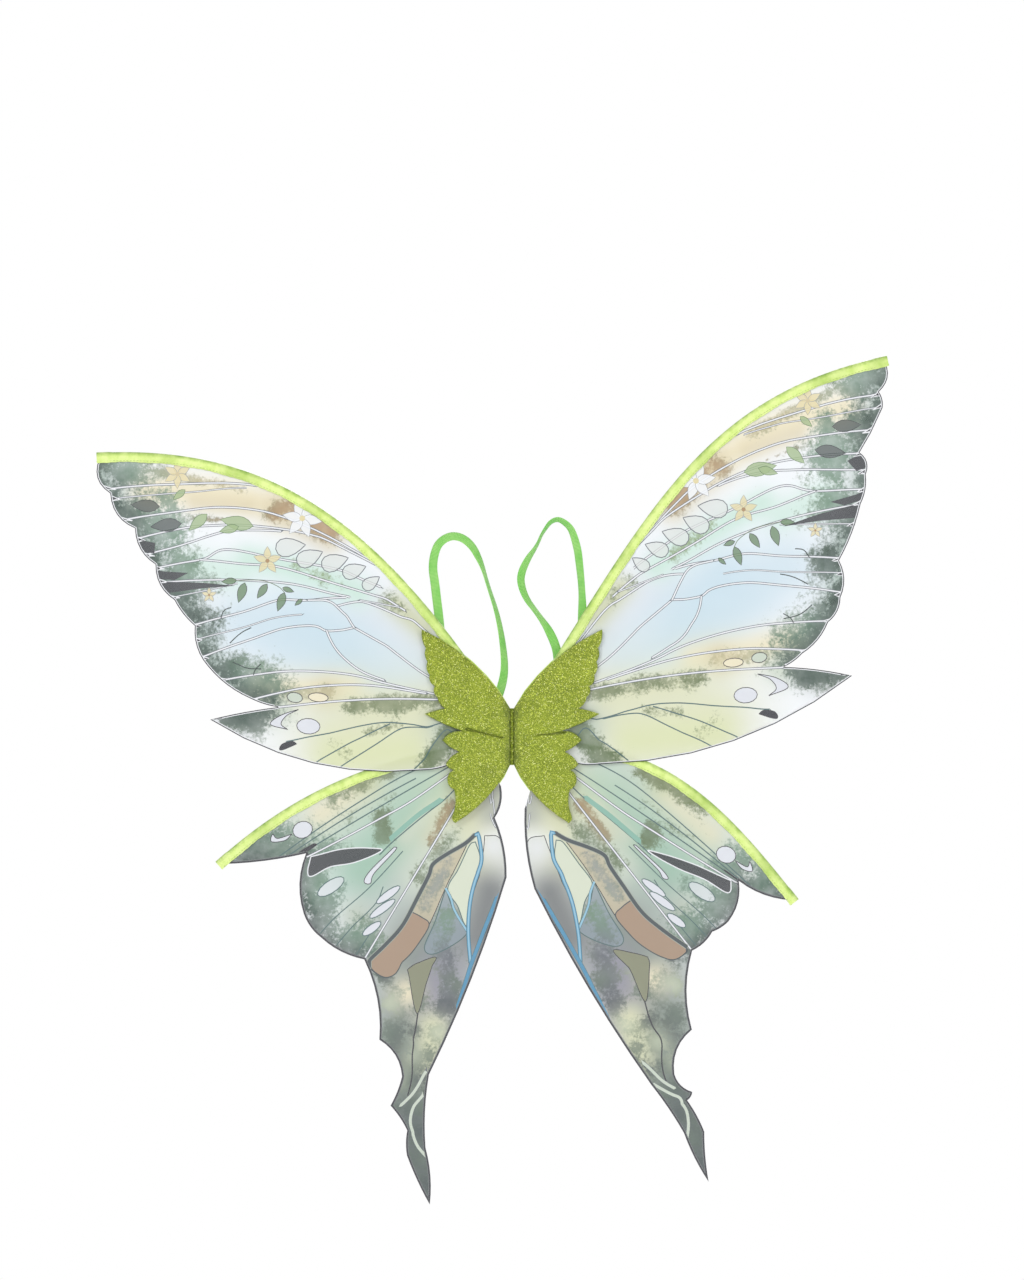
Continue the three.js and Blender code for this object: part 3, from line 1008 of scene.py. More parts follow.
def leaves(art, sector, places, ink, edge):
    """Pointed leaves, each at (u, w) with its length in millimetres and its direction."""
    for u, w, length, turn in places:
        shape = leaf(art.spot(sector, u, w), length, length * 0.42, outwards(art, turn))
        art.shape(shape, ink, ((0.25, edge),), 0.85)


def petal_row(art, sector, places):
    for u, w, length, turn in places:
        shape = teardrop(art.spot(sector, u, w), length, length * 0.62, outwards(art, turn))
        art.shape(shape, "petal", ((0.4, "line"),), 0.7)


def ovals(art, rows, bands=CELL_LINE, fill=1.0):
    """Ovals at (u, w), each with its length, width, direction and ink."""
    for sector, u, w, length, width, turn, ink in rows:
        loop = oval(art.spot(sector, u, w), length, width, outwards(art, turn))
        art.shape(loop, ink, bands, fill)


# %% Forewing details
LEAF_SPRAY = [(68, 47.5, 18, -70), (72, 45, 16, -55), (78, 45.5, 19, -72), (80, 45, 14, -4),
              (68, 45.5, 11, 200), (63.5, 49, 9, -40)]
SCROLL_LEAVES = [(70, 20, 30, 12), (80, 18.5, 22, -42), (83, 10, 14, -40), (74, 22, 18, -15)]
DARK_LEAVES = [(88, 24, 28, -6), (90, 17, 26, 4)]
PETALS = [(57.5, 20, 27, -8), (53, 19, 25, -24), (46, 14, 25, -18), (41, 11, 22, -20),
          (37, 10, 18, -35)]
STALK = [(68, 47.5), (69, 45.5), (73, 44), (80, 45)]
TWIGS = [[(86, 56), (88.5, 57), (91, 60)], [(83, 64), (86, 65.5), (90, 68.5)],
         [(84, 77), (87, 79), (89, 81)], [(85, 79), (89, 78), (92, 75)]]
BLACK_CELLS = [
    [(96, 31), (98.5, 30), (102, 31), (102, 34.5), (97.5, 34.5)],
    [(92, 42.5), (98, 41.5), (102, 41.2), (102, 44.3), (96, 44.5)],
    [(81, 47), (90, 45.8), (102, 45.2), (102, 49.8), (90, 48)],
]
FORE_OVALS = [("upper", 86, 95, 14, 9, 10, "pale_sage"), ("upper", 78, 97, 18, 8, 5, "cream"),
              ("lobe", 74.5, 50, 21, 14, 4, "lilac_white")]
FORE_CRESCENT = [(80, 62), (84, 55), (86, 35), (85, 20), (88, 35), (87, 60)]
FORE_BEAN = [(73.5, 80), (75.5, 78), (77.5, 86), (76.5, 95)]


def vein_wedges(art, sector, rows):
    """A small black wedge where each vein runs off the margin."""
    for _, pairs in rows:
        u, w = pairs[-1]
        if u > 100:
            wedge = [(98, w), (102, w - 1.3), (102, w + 1.3)]
            art.cell(sector, wedge, "charcoal", PALE_EDGE, False)


def forewing_details(art):
    petal_row(art, "upper", PETALS)
    leaves(art, "upper", SCROLL_LEAVES, "light_leaf", "leaf")
    leaves(art, "upper", DARK_LEAVES, "deep_green", "charcoal")
    leaves(art, "upper", LEAF_SPRAY, "leaf", "charcoal")
    art.vein("upper", STALK, ((0.3, "moss"),))
    flower(art, "upper", (70, 35), 13, "gold", "tan")
    flower(art, "upper", (90, 51), 7, "gold", "tan")
    flower(art, "upper", (56.5, 6.5), 18, "white", "gold", 6, 70)
    flower(art, "upper", (83.5, 4.5), 13, "gold", "sand", 6)
    for loop in BLACK_CELLS:
        art.cell("upper", loop, "charcoal", None, False, 0.95)
    vein_wedges(art, "upper", FORE_VEINS["upper"])
    for twig in TWIGS:
        art.vein("upper", twig, ((0.45, "deep_green"),))
    ovals(art, FORE_OVALS)
    art.cell("lobe", FORE_CRESCENT, "lilac_white")
    art.cell("lobe", FORE_BEAN, "charcoal")


def margin_line(wing, bands):
    """The outline where no rod runs, from the tip round to the root."""
    order = np.roll(wing.outline, -wing.corner["tip"], axis=0)
    free = order[distance_to(order, wing.rod) > 3.2]
    tip = wing.spot("tip")
    if math.dist(free[0], tip) > math.dist(free[-1], tip):
        free = free[::-1]
    return ("line", np.vstack([tip, free]), bands)


def print_forewing(wing):
    art = Print(wing)
    lay_colour(art, FORE_WASHES, FORE_BLOTS, {"upper": 28})
    draw_veins(art, FORE_VEINS)
    forewing_details(art)
    art.layers.append(margin_line(wing, ((0.9, "charcoal"), (1.6, "core"))))
    return art


# %% [markdown]
# The hindwing has three parts: a short upper part under its rod, a middle with crescents, and a
# long tail that darkens to mottled grey. Blue lines run down the tail's inner side.

# %% Hindwing washes
HIND_WASHES = {
    "upper": [
        (40, "pale_sage", 0.9, [(40, 50), (80, 50)]),
        (14, "cream", 0.9, [(50, 35), (70, 40)]),
        (16, "yellow_green", 0.8, [(45, 12)]),
    ],
    "middle": [
        (40, "mint_green", 0.9, [(30, 50), (70, 50)]),
        (9, "pale_sage", 0.8, [(35, 62), (50, 60)]),
        (9, "sand", 0.9, [(35, 95), (45, 95)]),
        (14, "pale_sage", 0.9, [(85, 75)]),
    ],
    "tail": [
        (40, "pale_yellow", 1, [(8, 50), (25, 45)]),
        (60, "green_grey", 1, [(45, 50), (70, 50), (100, 50)]),
        (14, "grey", 0.7, [(10, 95), (15, 90)]),
        (22, "mid_grey", 1, [(32, 88), (42, 92)]),
        (15, "white", 0.8, [(22, 84)]),
        (16, "pale_sage", 0.9, [(22, 15), (30, 5)]),
        (26, "slate", 1, [(50, 70), (58, 75)]),
        (14, "cream", 0.95, [(55, 35)]),
        (16, "pale_yellow", 0.95, [(62, 75), (70, 80)]),
        (14, "green_grey", 0.9, [(64, 20), (70, 25)]),
        (26, "tail_dark", 0.75, [(82, 50), (100, 50)]),
    ],
}
HIND_BLOTS = {
    "upper": [
        (13, "olive", 0.85, [(38, 12), (60, 12)]),
        (10, "moss", 0.5, [(50, 75), (70, 80)]),
    ],
    "middle": [
        (13, "moss", 1, [(58, 15), (58, 35)]),
        (8, "tan", 0.85, [(30, 90), (46, 95)]),
        (12, "teal", 0.7, [(80, 50), (90, 50)]),
    ],
    "tail": [
        (13, "moss", 0.75, [(20, 25), (30, 6)]),
        (10, "grey", 0.85, [(26, 30), (36, 28)]),
        (14, "margin_light", 0.9, [(38, 55), (44, 60)]),
        (18, "slate_dark", 0.85, [(46, 70), (58, 85)]),
        (12, "tail_grey", 0.8, [(55, 25), (60, 30)]),
        (15, "tail_dark", 0.9, [(62, 15), (70, 20)]),
        (14, "moss", 0.6, [(64, 75), (72, 70)]),
    ],
}


def tail_clouds(art):
    """Light and dark clouds by turns down the tail, which is all dark at its end."""
    inks = ("tail_dark", "tail_light", "moss_grey")
    for i, u in enumerate(np.arange(52, 100, 5.5)):
        for j, w in enumerate((15, 50, 85)):
            ink = inks[(i + j) % 3] if u < 76 else inks[2 * ((i + j) % 2)]
            art.brush("blot", "tail", 13, ink, 0.9, [(u, w)])


# %% Hindwing veins and cells
HIND_VEINS = {
    "upper": [
        (TEAL_VEIN, [(5, 40), (32, 45), (56, 57), (79, 62), (103, 64)]),
        (TEAL_VEIN, [(36, 72), (60, 74), (103, 76)]),
        (TEAL_VEIN, [(10, 90), (50, 93), (103, 93)]),
    ],
    "middle": [
        (TEAL_VEIN, [(10, 72), (27, 68), (35.5, 60), (44, 55), (54.5, 52), (62, 52)]),
        (THIN_TEAL, [(54.5, 70), (73, 68), (90, 63), (103, 63)]),
        (THIN_TEAL, [(70, 78), (77, 82), (90, 78), (103, 77)]),
        (THIN_TEAL, [(84, 93), (103, 93)]),
        (VEIN, [(2, 98), (40, 100), (103, 100)]),
        (VEIN, [(10, 20), (40, 20), (60, 13), (80, 8), (103, 3)]),
    ],
    "tail": [
        (THIN_TEAL, [(32, 40), (35, 42), (39, 45), (45, 47)]),
        (BLACK_VEIN, [(59, 50), (65, 50), (70, 38), (77, 40)]),
        (THIN_VEIN, [(8, 85), (10, 93), (13, 90), (11, 83)]),
        (THIN_VEIN, [(12, 95), (15, 99), (18, 95), (15, 90)]),
    ],
}
GREY_CELL = [(20, 72), (20.5, 97), (28, 98.5), (35, 98.5), (41, 97), (46.5, 95), (44, 87),
             (38, 75), (31, 70), (25, 70)]
YELLOW_CELL = [(21.5, 58), (25, 67), (31, 67), (39.5, 77), (35.5, 60), (32, 42), (27.5, 44),
               (22.5, 50)]
BLUE_GREY_CELL = [(32, 40), (39, 45), (45, 47), (46, 60), (41, 80), (37, 60)]
OLIVE_WEDGE = [(50, 38), (48.5, 47), (47, 62), (53, 56), (59, 50), (56, 42)]
BAND_TOP = [(20, 56), (22, 44), (24.5, 25), (27, 13), (29.5, 15), (34.5, 16), (40.5, 16.5),
            (45, 11), (50, 2)]
BAND_FOOT = [(52, 13), (51, 26), (47.5, 36), (44, 40), (39, 41), (32.5, 39.5), (28, 40), (22, 47)]
BAND_END = [(37.5, 17), (40.5, 16.5), (45, 11), (50, 3), (52, 13), (51, 26), (47.5, 36),
            (44, 40), (40, 41), (38.5, 30)]
BLUE_BRANCH = [(32, 40), (34, 50), (36.5, 59), (41, 81)]
BLUE_STRIPE = [(20, 58), (20, 62), (25, 69), (29, 67), (34.5, 71), (41, 81), (47.5, 94)]
BLUE_RIM = [(33, 96.5), (40, 95), (48, 95), (57, 97)]
RIBBONS = [[(77, 90), (80, 60), (84, 30), (87, 50), (90, 95)], [(72, 85), (76, 60), (79, 30)]]
BLACK_CELL = [(96, 6), (80, 17), (68, 32), (60, 50), (72, 40), (84, 27), (95, 22)]
LILAC_BAR = [(55.5, 58), (56, 62), (68, 62), (72, 66), (73, 60), (68, 57)]
TEAL_STREAK = [(30, 60), (40, 50), (55, 47)]
HIND_OVALS = [("middle", u, w, length, 7, -36, "lilac_white")
              for u, w, length in ((72, 87, 26), (78, 90, 28), (87, 92, 20))]
HIND_CRESCENT = [(83, 40), (86, 30), (84, 18), (88, 28), (87, 42)]
NOTCH_MARK = [(90, 86), (97, 85), (98, 95), (92, 94)]


def tail_details(art):
    art.cell("tail", GREY_CELL, "grey", CELL_LINE, True, 0.15)
    art.cell("tail", YELLOW_CELL, "pale_cell", THIN_TEAL)
    art.cell("tail", BLUE_GREY_CELL, "blue_grey", THIN_TEAL, True, 0.75, 0.9)
    art.cell("tail", OLIVE_WEDGE, "olive_grey")
    art.cell("tail", BAND_TOP + BAND_FOOT, "band_tan", CELL_LINE, True, 0.85, 0.9)
    art.cell("tail", BAND_END, "pink_brown", ((0.5, "tail_dark"),))
    art.vein("tail", BAND_TOP, ((1.6, "tail_dark"), (2.2, "tail_grey")))
    art.vein("tail", BLUE_BRANCH, ((0.9, "light_blue"), (1.3, "dark_teal")))
    art.vein("tail", BLUE_STRIPE, ((0.7, "light_blue"), (1.5, "blue"), (1.9, "dark_teal")))
    art.vein("tail", BLUE_RIM, ((1.6, "blue"), (2.0, "dark_teal")))
    for ribbon in RIBBONS:
        art.vein("tail", ribbon, ((1.3, "pale_sage"), (1.6, "line")))


def hindwing_details(art):
    art.vein("middle", TEAL_STREAK, ((2.2, "teal_wash"),))
    art.cell("middle", BLACK_CELL, "charcoal", PALE_EDGE, True, 0.95)
    art.cell("middle", LILAC_BAR, "lilac_white")
    ovals(art, [("middle", 85.5, 42, 28, 11, -34, "lilac_white")], THIN_TEAL, 0.6)
    ovals(art, HIND_OVALS, THIN_TEAL)
    ovals(art, [("upper", 80, 45, 18, 15, -20, "lilac_white")])
    art.cell("upper", HIND_CRESCENT, "lilac_white")
    art.cell("upper", NOTCH_MARK, "charcoal")
    tail_details(art)


def print_hindwing(wing):
    art = Print(wing)
    lay_colour(art, HIND_WASHES, HIND_BLOTS, {"upper": 26, "middle": 24})
    tail_clouds(art)
    draw_veins(art, HIND_VEINS)
    hindwing_details(art)
    art.layers.append(margin_line(wing, ((1.5, "charcoal"), (2.1, "mid_grey"))))
    return art


# %% Hang the four panels of cloth
for wing in PLANS.values():
    art = print_forewing(wing) if "forewing" in wing.name else print_hindwing(wing)
    sheet, area, size = hang_cloth(wing, art)

# %% [markdown]
# Each casing is one satin tape folded round its rod and sewn through the cloth. The fold's
# section is a soft hairpin, drawn once and carried along the rod by hand-written lofting, which
# gives the pucker between stitches and the flat cut end that a curve bevel can't.

# %% Loft a strip along a path
def tangents(line):
    along = np.gradient(line, axis=0)
    return along / np.hypot(*along.T)[:, None]


def loft(name, rows, material, closed_section=False):
    """Joins rows of points, each a station of the same section, into one skin."""
    stations, count, _ = rows.shape
    faces = []
    across = count if closed_section else count - 1
    for i in range(stations - 1):
        for j in range(across):
            a, b = i * count + j, i * count + (j + 1) % count
            faces.append((a, b, b + count, a + count))
    if closed_section:
        faces.append(tuple(range(count))[::-1])
        faces.append(tuple((stations - 1) * count + j for j in range(count)))
    made = new_object(name, rows.reshape(-1, 3) * MM, faces, material)
    fix_normals(made)
    return made


def fix_normals(made):
    shell = bmesh.new()
    shell.from_mesh(made.data)
    bmesh.ops.recalc_face_normals(shell, faces=shell.faces)
    shell.to_mesh(made.data)
    shell.free()


def give_values(made, label, values):
    layer = made.data.attributes.new(label, "FLOAT", "POINT")
    layer.data.foreach_set("value", values.astype(np.float32))


def crosswise(line):
    along = tangents(line)
    return np.stack([-along[:, 1], along[:, 0]], axis=-1)


def stations(line, across, outs, heights):
    """Rows of 3-D points: each section point is so far across the line, at a height in Y."""
    rows = np.zeros((len(line), len(outs), 3))
    for j, (out, height) in enumerate(zip(outs, heights)):
        rows[:, j, 0] = line[:, 0] + across[:, 0] * out
        rows[:, j, 1] = height
        rows[:, j, 2] = line[:, 1] + across[:, 1] * out
    return rows


def inwards(wing, line):
    """The direction across the cloth at each station, away from the rod."""
    across = crosswise(line)
    middle = wing.outline.mean(axis=0)
    return across if ((middle - line.mean(axis=0)) @ across.mean(axis=0)) > 0 else -across


# %% Tape casings
# Half of the fold's section, as (how far in from the rod, how high), in millimetres.
HALF_FOLD = [(6.9, 0.85), (5.5, 0.8), (4.3, 0.95), (3.3, 1.25), (2.3, 1.65), (1.2, 1.95),
             (0.0, 2.0), (-1.1, 1.65), (-1.75, 1.0), (-2.05, 0.0)]
CASING_START = 9
TAIL_OF_TAPE = 2.5
TAPE_THICKNESS = 0.3
SEAM_REACH = 5.5


def casing_path(wing):
    rod = respaced(smooth(wing.rod, 4), 2.0)
    far = walk(rod)
    ahead = tangents(rod)[-1]
    end = rod[-1] + ahead * np.linspace(0.5, TAIL_OF_TAPE, 8)[:, None]
    return np.vstack([rod[far > CASING_START], end]), far[-1] - CASING_START


def sew_casing(wing):
    path, rod_end = casing_path(wing)
    across = inwards(wing, path)
    far = walk(path)
    swell = 1 + 0.2 * eased(far, rod_end - 14, rod_end - 9)
    flat = 1 - 0.62 * eased(far, rod_end + 1.5, rod_end + 4.5)
    pucker = 0.16 * np.sin(far * 2.1) * np.sin(far * 0.31 + 1) + 0.1 * np.sin(far * 0.9 + wing.side)
    fray = 0.3 * np.sin(far * 0.17 + 2 * wing.side) + 0.15 * np.sin(far * 0.83)
    fold = HALF_FOLD + [(reach, -height) for reach, height in HALF_FOLD[-2::-1]]
    outs, heights = [], []
    for reach, height in fold:
        loose = max(0.0, (reach - 1.5) / 5.4)
        outs.append(reach + fray if reach > 6 else reach * swell)
        lift = height * swell * flat + np.sign(height) * loose * pucker
        heights.append(wing.plane / MM - lift)
    casing = loft(wing.name + "_tape", stations(path, across, outs, heights), "tape")
    # Painted shade: 1 on the tape's outer fold edge, falling to 0 at its two cut edges.
    ridge = 1 - np.abs(np.linspace(-1, 1, len(fold)))
    give_values(casing, "ridge", np.tile(ridge, len(path)))
    thicken(casing, TAPE_THICKNESS * MM)
    return attach(casing, wing.name, [wing.name + "_casing"])


for wing in PLANS.values():
    casing = sew_casing(wing)
    print(casing.name, "faces:", len(casing.data.polygons))

# %% [markdown]
# A row of stitches holds each casing shut. It repeats along a path, which is what Geometry Nodes
# are for: the tree spaces points along the path and lays one small stitch on each, turned along
# the seam. A stitch could also be an array modifier on a curve, but that bends every copy.

# %% A tree that sews stitches along a path
def new_tree(name, inputs):
    """A tree that takes and gives geometry, with its named inputs and their first values."""
    tree = bpy.data.node_groups.new(name, "GeometryNodeTree")
    panel = tree.interface
    panel.new_socket(name="Geometry", in_out="INPUT", socket_type="NodeSocketGeometry")
    for label, (kind, value) in inputs.items():
        socket = panel.new_socket(name=label, in_out="INPUT", socket_type="NodeSocket" + kind)
        if value is not None:
            socket.default_value = value
    panel.new_socket(name="Geometry", in_out="OUTPUT", socket_type="NodeSocketGeometry")
    return tree, tree.nodes.new("NodeGroupInput").outputs


def tree_node(tree, kind, settings=(), **links):
    made = tree.nodes.new(kind)
    for key, value in dict(settings).items():
        setattr(made, key, value)
    for key, source in links.items():
        socket = made.inputs[key.replace("_", " ")]
        if isinstance(source, bpy.types.NodeSocket):
            tree.links.new(source, socket)
        else:
            socket.default_value = source
    return made


def finish_tree(tree, instances, material):
    real = tree_node(tree, "GeometryNodeRealizeInstances", Geometry=instances).outputs["Geometry"]
    painted = tree_node(tree, "GeometryNodeSetMaterial", Geometry=real, Material=material)
    out = tree.nodes.new("NodeGroupOutput")
    tree.links.new(painted.outputs["Geometry"], out.inputs["Geometry"])
    return tree


def stitch_tree():
    tree, given = new_tree("stitches", {
        "Pitch": ("Float", 3 * MM),
        "Length": ("Float", 1.1 * MM),
        "Width": ("Float", 0.28 * MM),
        "Thread": ("Material", None),
    })
    curve = tree_node(tree, "GeometryNodeMeshToCurve", Mesh=given["Geometry"]).outputs["Curve"]
    spaced = tree_node(tree, "GeometryNodeResampleCurve", {"mode": "LENGTH"}, Curve=curve,
                       Length=given["Pitch"]).outputs["Curve"]
    ball = tree_node(tree, "GeometryNodeMeshUVSphere", Segments=6, Rings=5, Radius=1.0).outputs["Mesh"]
    bead = tree_node(tree, "GeometryNodeSetShadeSmooth", Geometry=ball).outputs["Geometry"]
    size = tree_node(tree, "ShaderNodeCombineXYZ", X=given["Width"], Y=given["Width"],
                     Z=given["Length"]).outputs["Vector"]
    tangent = tree_node(tree, "GeometryNodeInputTangent").outputs["Tangent"]
    turn = tree_node(tree, "FunctionNodeAlignRotationToVector", {"axis": "Z"},
                     Vector=tangent).outputs["Rotation"]
    sewn = tree_node(tree, "GeometryNodeInstanceOnPoints", Points=spaced, Instance=bead, Rotation=turn,
                     Scale=size).outputs["Instances"]
    return finish_tree(tree, sewn, given["Thread"])


def grown_by(base, tree, values):
    """Runs a tree on an object, keeps the result as a plain mesh and drops the modifier."""
    runner = base.modifiers.new("grow", "NODES")
    runner.node_group = tree
    for item in tree.interface.items_tree:
        if item.in_out == "INPUT" and item.name in values:
            runner[item.identifier] = values[item.name]
    graph = bpy.context.evaluated_depsgraph_get()
    mesh = bpy.data.meshes.new_from_object(base.evaluated_get(graph))
    base.modifiers.remove(runner)
    return mesh


STITCHES = stitch_tree()


def edge_paths(name, paths):
    """An object of bare edges, one run for each path of 3-D points in millimetres."""
    mesh = bpy.data.meshes.new(name)
    points, edges = [], []
    for path in paths:
        first = len(points)
        points += [tuple(point * MM) for point in path]
        edges += [(first + i, first + i + 1) for i in range(len(path) - 1)]
    mesh.from_pydata(points, edges, [])
    return put_in_scene(name, mesh)


def sew(name, paths, body, nodes=(), pitch=3.0, length=1.1, width=0.28):
    base = edge_paths(name, paths)
    sizes = {"Pitch": pitch * MM, "Length": length * MM, "Width": width * MM}
    base.data = grown_by(base, STITCHES, {**sizes, "Thread": MATERIAL["thread"]})
    return attach(base, body, nodes)


def seam_paths(wing):
    path, rod_end = casing_path(wing)
    path = path[walk(path) < rod_end + 1]
    flat = path + inwards(wing, path) * SEAM_REACH
    heights = [wing.plane / MM - lift for lift in (1.02, -1.02)]
    return [np.column_stack([flat[:, 0], np.full(len(flat), y), flat[:, 1]]) for y in heights]


for wing in PLANS.values():
    row = sew(wing.name + "_stitches", seam_paths(wing), wing.name, [wing.name + "_casing_thread"])
    print(row.name, "faces:", len(row.data.polygons))

# %% [markdown]
# The middle is covered by two leaf-edged patches of glittered foam, 2 mm thick, with a bright
# felt lining behind them that shows as a thin rim. Each is a flat shape whose cut edge is rounded
# over, so one helper makes both: the height of every point comes from how far in it lies.

# %% Soft sheets with rounded edges
SOFT_GRID = 2.6


def lip(depth, radius):
    share = 1 - np.clip(depth / radius, 0, 1)
    return np.sqrt(1 - share * share)


def soft_sheet(name, outline, back, front, material, shape, round_edge=1.4, folds=()):
    """A closed form between two depths. `shape` gives the rise over the front at each point."""
    edge = closed_rim(outline, 1.6)
    inner = [beside(edge, way * step) for step in (0.25, 0.7, 1.4) for way in (1, -1)]
    inner += [beside(smooth(fold), step) for fold in folds for step in (-1.8, -0.9, 0, 0.9, 1.8)]
    made, faces = cut_sheet(outline, inner, SOFT_GRID)
    depth = distance_to(made, closed_rim(outline))
    middle = (back + front) / 2
    rise = shape(made, depth)
    near = middle + (front - middle) * lip(depth, round_edge) - rise * lip(depth, round_edge)
    far = middle + (back - middle) * lip(depth, round_edge * 0.6)
    on_rim = depth < 0.02
    count = len(made)
    twin = np.where(on_rim, np.arange(count), np.arange(count) + count)
    top = np.column_stack([made[:, 0], near, made[:, 1]])
    bottom = np.column_stack([made[:, 0], far, made[:, 1]])
    both = np.vstack([faces, twin[faces][:, ::-1]])
    both = both[[len(set(face)) == 3 for face in both]]
    used, compact = np.unique(both, return_inverse=True)
    sheet = new_object(name, np.vstack([top, bottom])[used] * MM, compact.reshape(both.shape), material)
    # Painted shade for the foam's colour: how low each front point sits, most in the creases; the back
    # gets none.
    give_values(sheet, "hollow", np.concatenate([eased(-rise, -0.2, 0.8), np.zeros(count)])[used])
    fix_normals(sheet)
    return sheet, len(faces)


def crease(points, line, depth, half_width):
    gap = distance_to(points, np.array(line, dtype=float))
    return -depth * np.exp(-((gap / half_width) ** 2))


# %% Glitter patches and lining
# A crease is its line in plan, its depth and its half width, in millimetres.
CENTRE_CREASE = {-1: ([(9, -1.4), (24.5, 2.5), (41, 6.5)], 2.6, 0.9),
                 1: ([(22, 1), (35, 2), (48, 3.5)], 1.9, 0.8)}
PATCH_CREASES = [
    ([(6, 20), (22, 36), (42, 58), (64, 78)], 0.35, 6.0),
    ([(8, -18), (24, -34), (40, -56), (50, -68)], 0.3, 5.0),
]


def patch_shape(side):
    def shape(points, depth):
        puff = 0.9 * eased(depth, 0, 13)
        waves = 0.28 * np.sin(points[:, 0] * 0.11 * side + points[:, 1] * 0.07) * eased(depth, 2, 10)
        for line, deep, half in PATCH_CREASES + [CENTRE_CREASE[side]]:
            puff = puff + crease(points, [(side * x, z) for x, z in line], deep, half)
        return puff + waves - 0.5 * np.exp(-((np.abs(points[:, 0]) - 1.8) / 5) ** 2)
    return shape


def flat_shape(points, depth):
    return 0 * depth


def soft_part(name, node, body, material, shape, round_edge=1.4, folds=()):
    """A soft sheet that takes its outline and its two faces from a frame piece."""
    low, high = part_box(node)
    sheet, count = soft_sheet(name, plan_outline(node), high[1] / MM, low[1] / MM, material, shape,
                              round_edge, folds)
    return attach(sheet, body, [node]), count


for name, side in SIDES.items():
    folds = [[(side * x, z) for x, z in CENTRE_CREASE[side][0]]]
    patch, count = soft_part(name + "_glitter_patch", name + "_front_patch", name + "_half",
                             "foam", patch_shape(side), folds=folds)
    lining, _ = soft_part(name + "_lining", name + "_back_patch", name + "_half",
                          "lining", flat_shape, 0.6)
    cut = plan_outline(name + "_back_patch")
    print(patch.name, "front faces:", count)

# %% [markdown]
# Glitter is thousands of tiny six-sided flakes stuck on at odd angles. A shader can fake the
# sparkle, but real flakes catch the light from every side, so a second tree scatters them over
# the front of each patch with a fixed seed.

# %% A tree that scatters flakes
FACES_FRONT = -0.86  # the normal's Y, so flakes keep off the rounded edges and the creases


def flake_tree():
    tree, given = new_tree("flakes", {
        "Flake Radius": ("Float", 0.3 * MM),
        "Flakes per m2": ("Float", 1.5e6),
        "Tilt": ("Float", 0.45),
        "Seed": ("Int", 3),
        "Glitter": ("Material", None),
    })
    normal = tree_node(tree, "GeometryNodeInputNormal").outputs["Normal"]
    facing = tree_node(tree, "ShaderNodeSeparateXYZ", Vector=normal).outputs["Y"]
    front = tree_node(tree, "FunctionNodeCompare", {"operation": "LESS_THAN"}, A=facing,
                      B=FACES_FRONT).outputs["Result"]
    spread = tree_node(tree, "GeometryNodeDistributePointsOnFaces", Mesh=given["Geometry"],
                       Selection=front, Density=given["Flakes per m2"], Seed=given["Seed"]).outputs
    flake = tree_node(tree, "GeometryNodeMeshCircle", {"fill_type": "NGON"}, Vertices=6,
                      Radius=given["Flake Radius"]).outputs["Mesh"]
    turn = tree_node(tree, "FunctionNodeRotateRotation", {"rotation_space": "LOCAL"},
                     Rotation=spread["Rotation"], Rotate_By=random_lean(tree, given)).outputs[0]
    stuck = tree_node(tree, "GeometryNodeInstanceOnPoints", Points=spread["Points"], Instance=flake,
                      Rotation=turn).outputs["Instances"]
    return finish_tree(tree, stuck, given["Glitter"])


def random_lean(tree, given):
    """Up to the tilt either way about X and Y, and up to half a turn about Z."""
    back = tree_node(tree, "ShaderNodeMath", {"operation": "MULTIPLY"})
    tree.links.new(given["Tilt"], back.inputs[0])
    back.inputs[1].default_value = -1
    low = tree_node(tree, "ShaderNodeCombineXYZ", X=back.outputs[0], Y=back.outputs[0]).outputs[0]
    high = tree_node(tree, "ShaderNodeCombineXYZ", X=given["Tilt"], Y=given["Tilt"], Z=3.1).outputs[0]
    lean = tree_node(tree, "FunctionNodeRandomValue", {"data_type": "FLOAT_VECTOR"}, Seed=given["Seed"])
    tree.links.new(low, lean.inputs[0])
    tree.links.new(high, lean.inputs[1])
    return lean.outputs[0]


FLAKES = flake_tree()


def scatter_flakes(name, seed):
    ground = bpy.data.objects[name + "_glitter_patch"]
    mesh = grown_by(ground, FLAKES, {"Seed": seed, "Glitter": MATERIAL["flake"]})
    return attach(put_in_scene(name + "_glitter", mesh), name + "_half")


for seed, name in enumerate(SIDES, 3):
    glitter = scatter_flakes(name, seed)
    print(glitter.name, "flakes:", len(glitter.data.polygons))

# %% [markdown]
# The two halves meet at a pinched fold, where the foam is drawn in by hand stitches. It is a
# narrow pair of lips lofted up the middle, wavy where the thread pulls them. A tape is sewn behind it.

# %% Centre fold and spine tape
def box_mm(node):
    return (np.array(corner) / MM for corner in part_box(node))


PULL_DEPTH = 0.9
END_DROP = 1.2
GROOVE_DEPTH = 1.7


def pinch_fold():
    """Two lips with a groove between them, drawn in by each stitch and lower at both ends."""
    low, high = box_mm("centre_fold")
    turn = np.linspace(0, math.pi, 17)
    rows = []
    for z in np.linspace(low[2], high[2], 60):
        pull = 0.5 + 0.5 * math.sin(z * 0.9)
        half = (high[0] - low[0]) / 2 * (0.78 + 0.2 * pull)
        front = low[1] + PULL_DEPTH * pull + END_DROP * eased(abs(z), 20, 26)
        lips = front + GROOVE_DEPTH * (1 - np.abs(np.sin(2 * turn)) ** 0.6)
        section = [(-half, high[1])] + list(zip(-half * np.cos(turn), lips))
        rows.append([(x, y, z) for x, y in section + [(half, high[1])]])
    fold = loft("pinched_fold", np.array(rows, dtype=float), "foam", True)
    return attach(fold, "spine", ["centre_fold"])


back_tape, _ = soft_part("back_tape", "spine_tape", "spine", "twill", flat_shape, 0.5)
print(pinch_fold().name, back_tape.name)

# %% [markdown]
# The arm loops are woven elastic, 8 mm wide. A loop is flat where it is sewn down, and turns on
# edge where it springs up and over, so its width leans out of the plane there. That is a lofted
# ribbon whose section is turned by a smooth amount along its length.

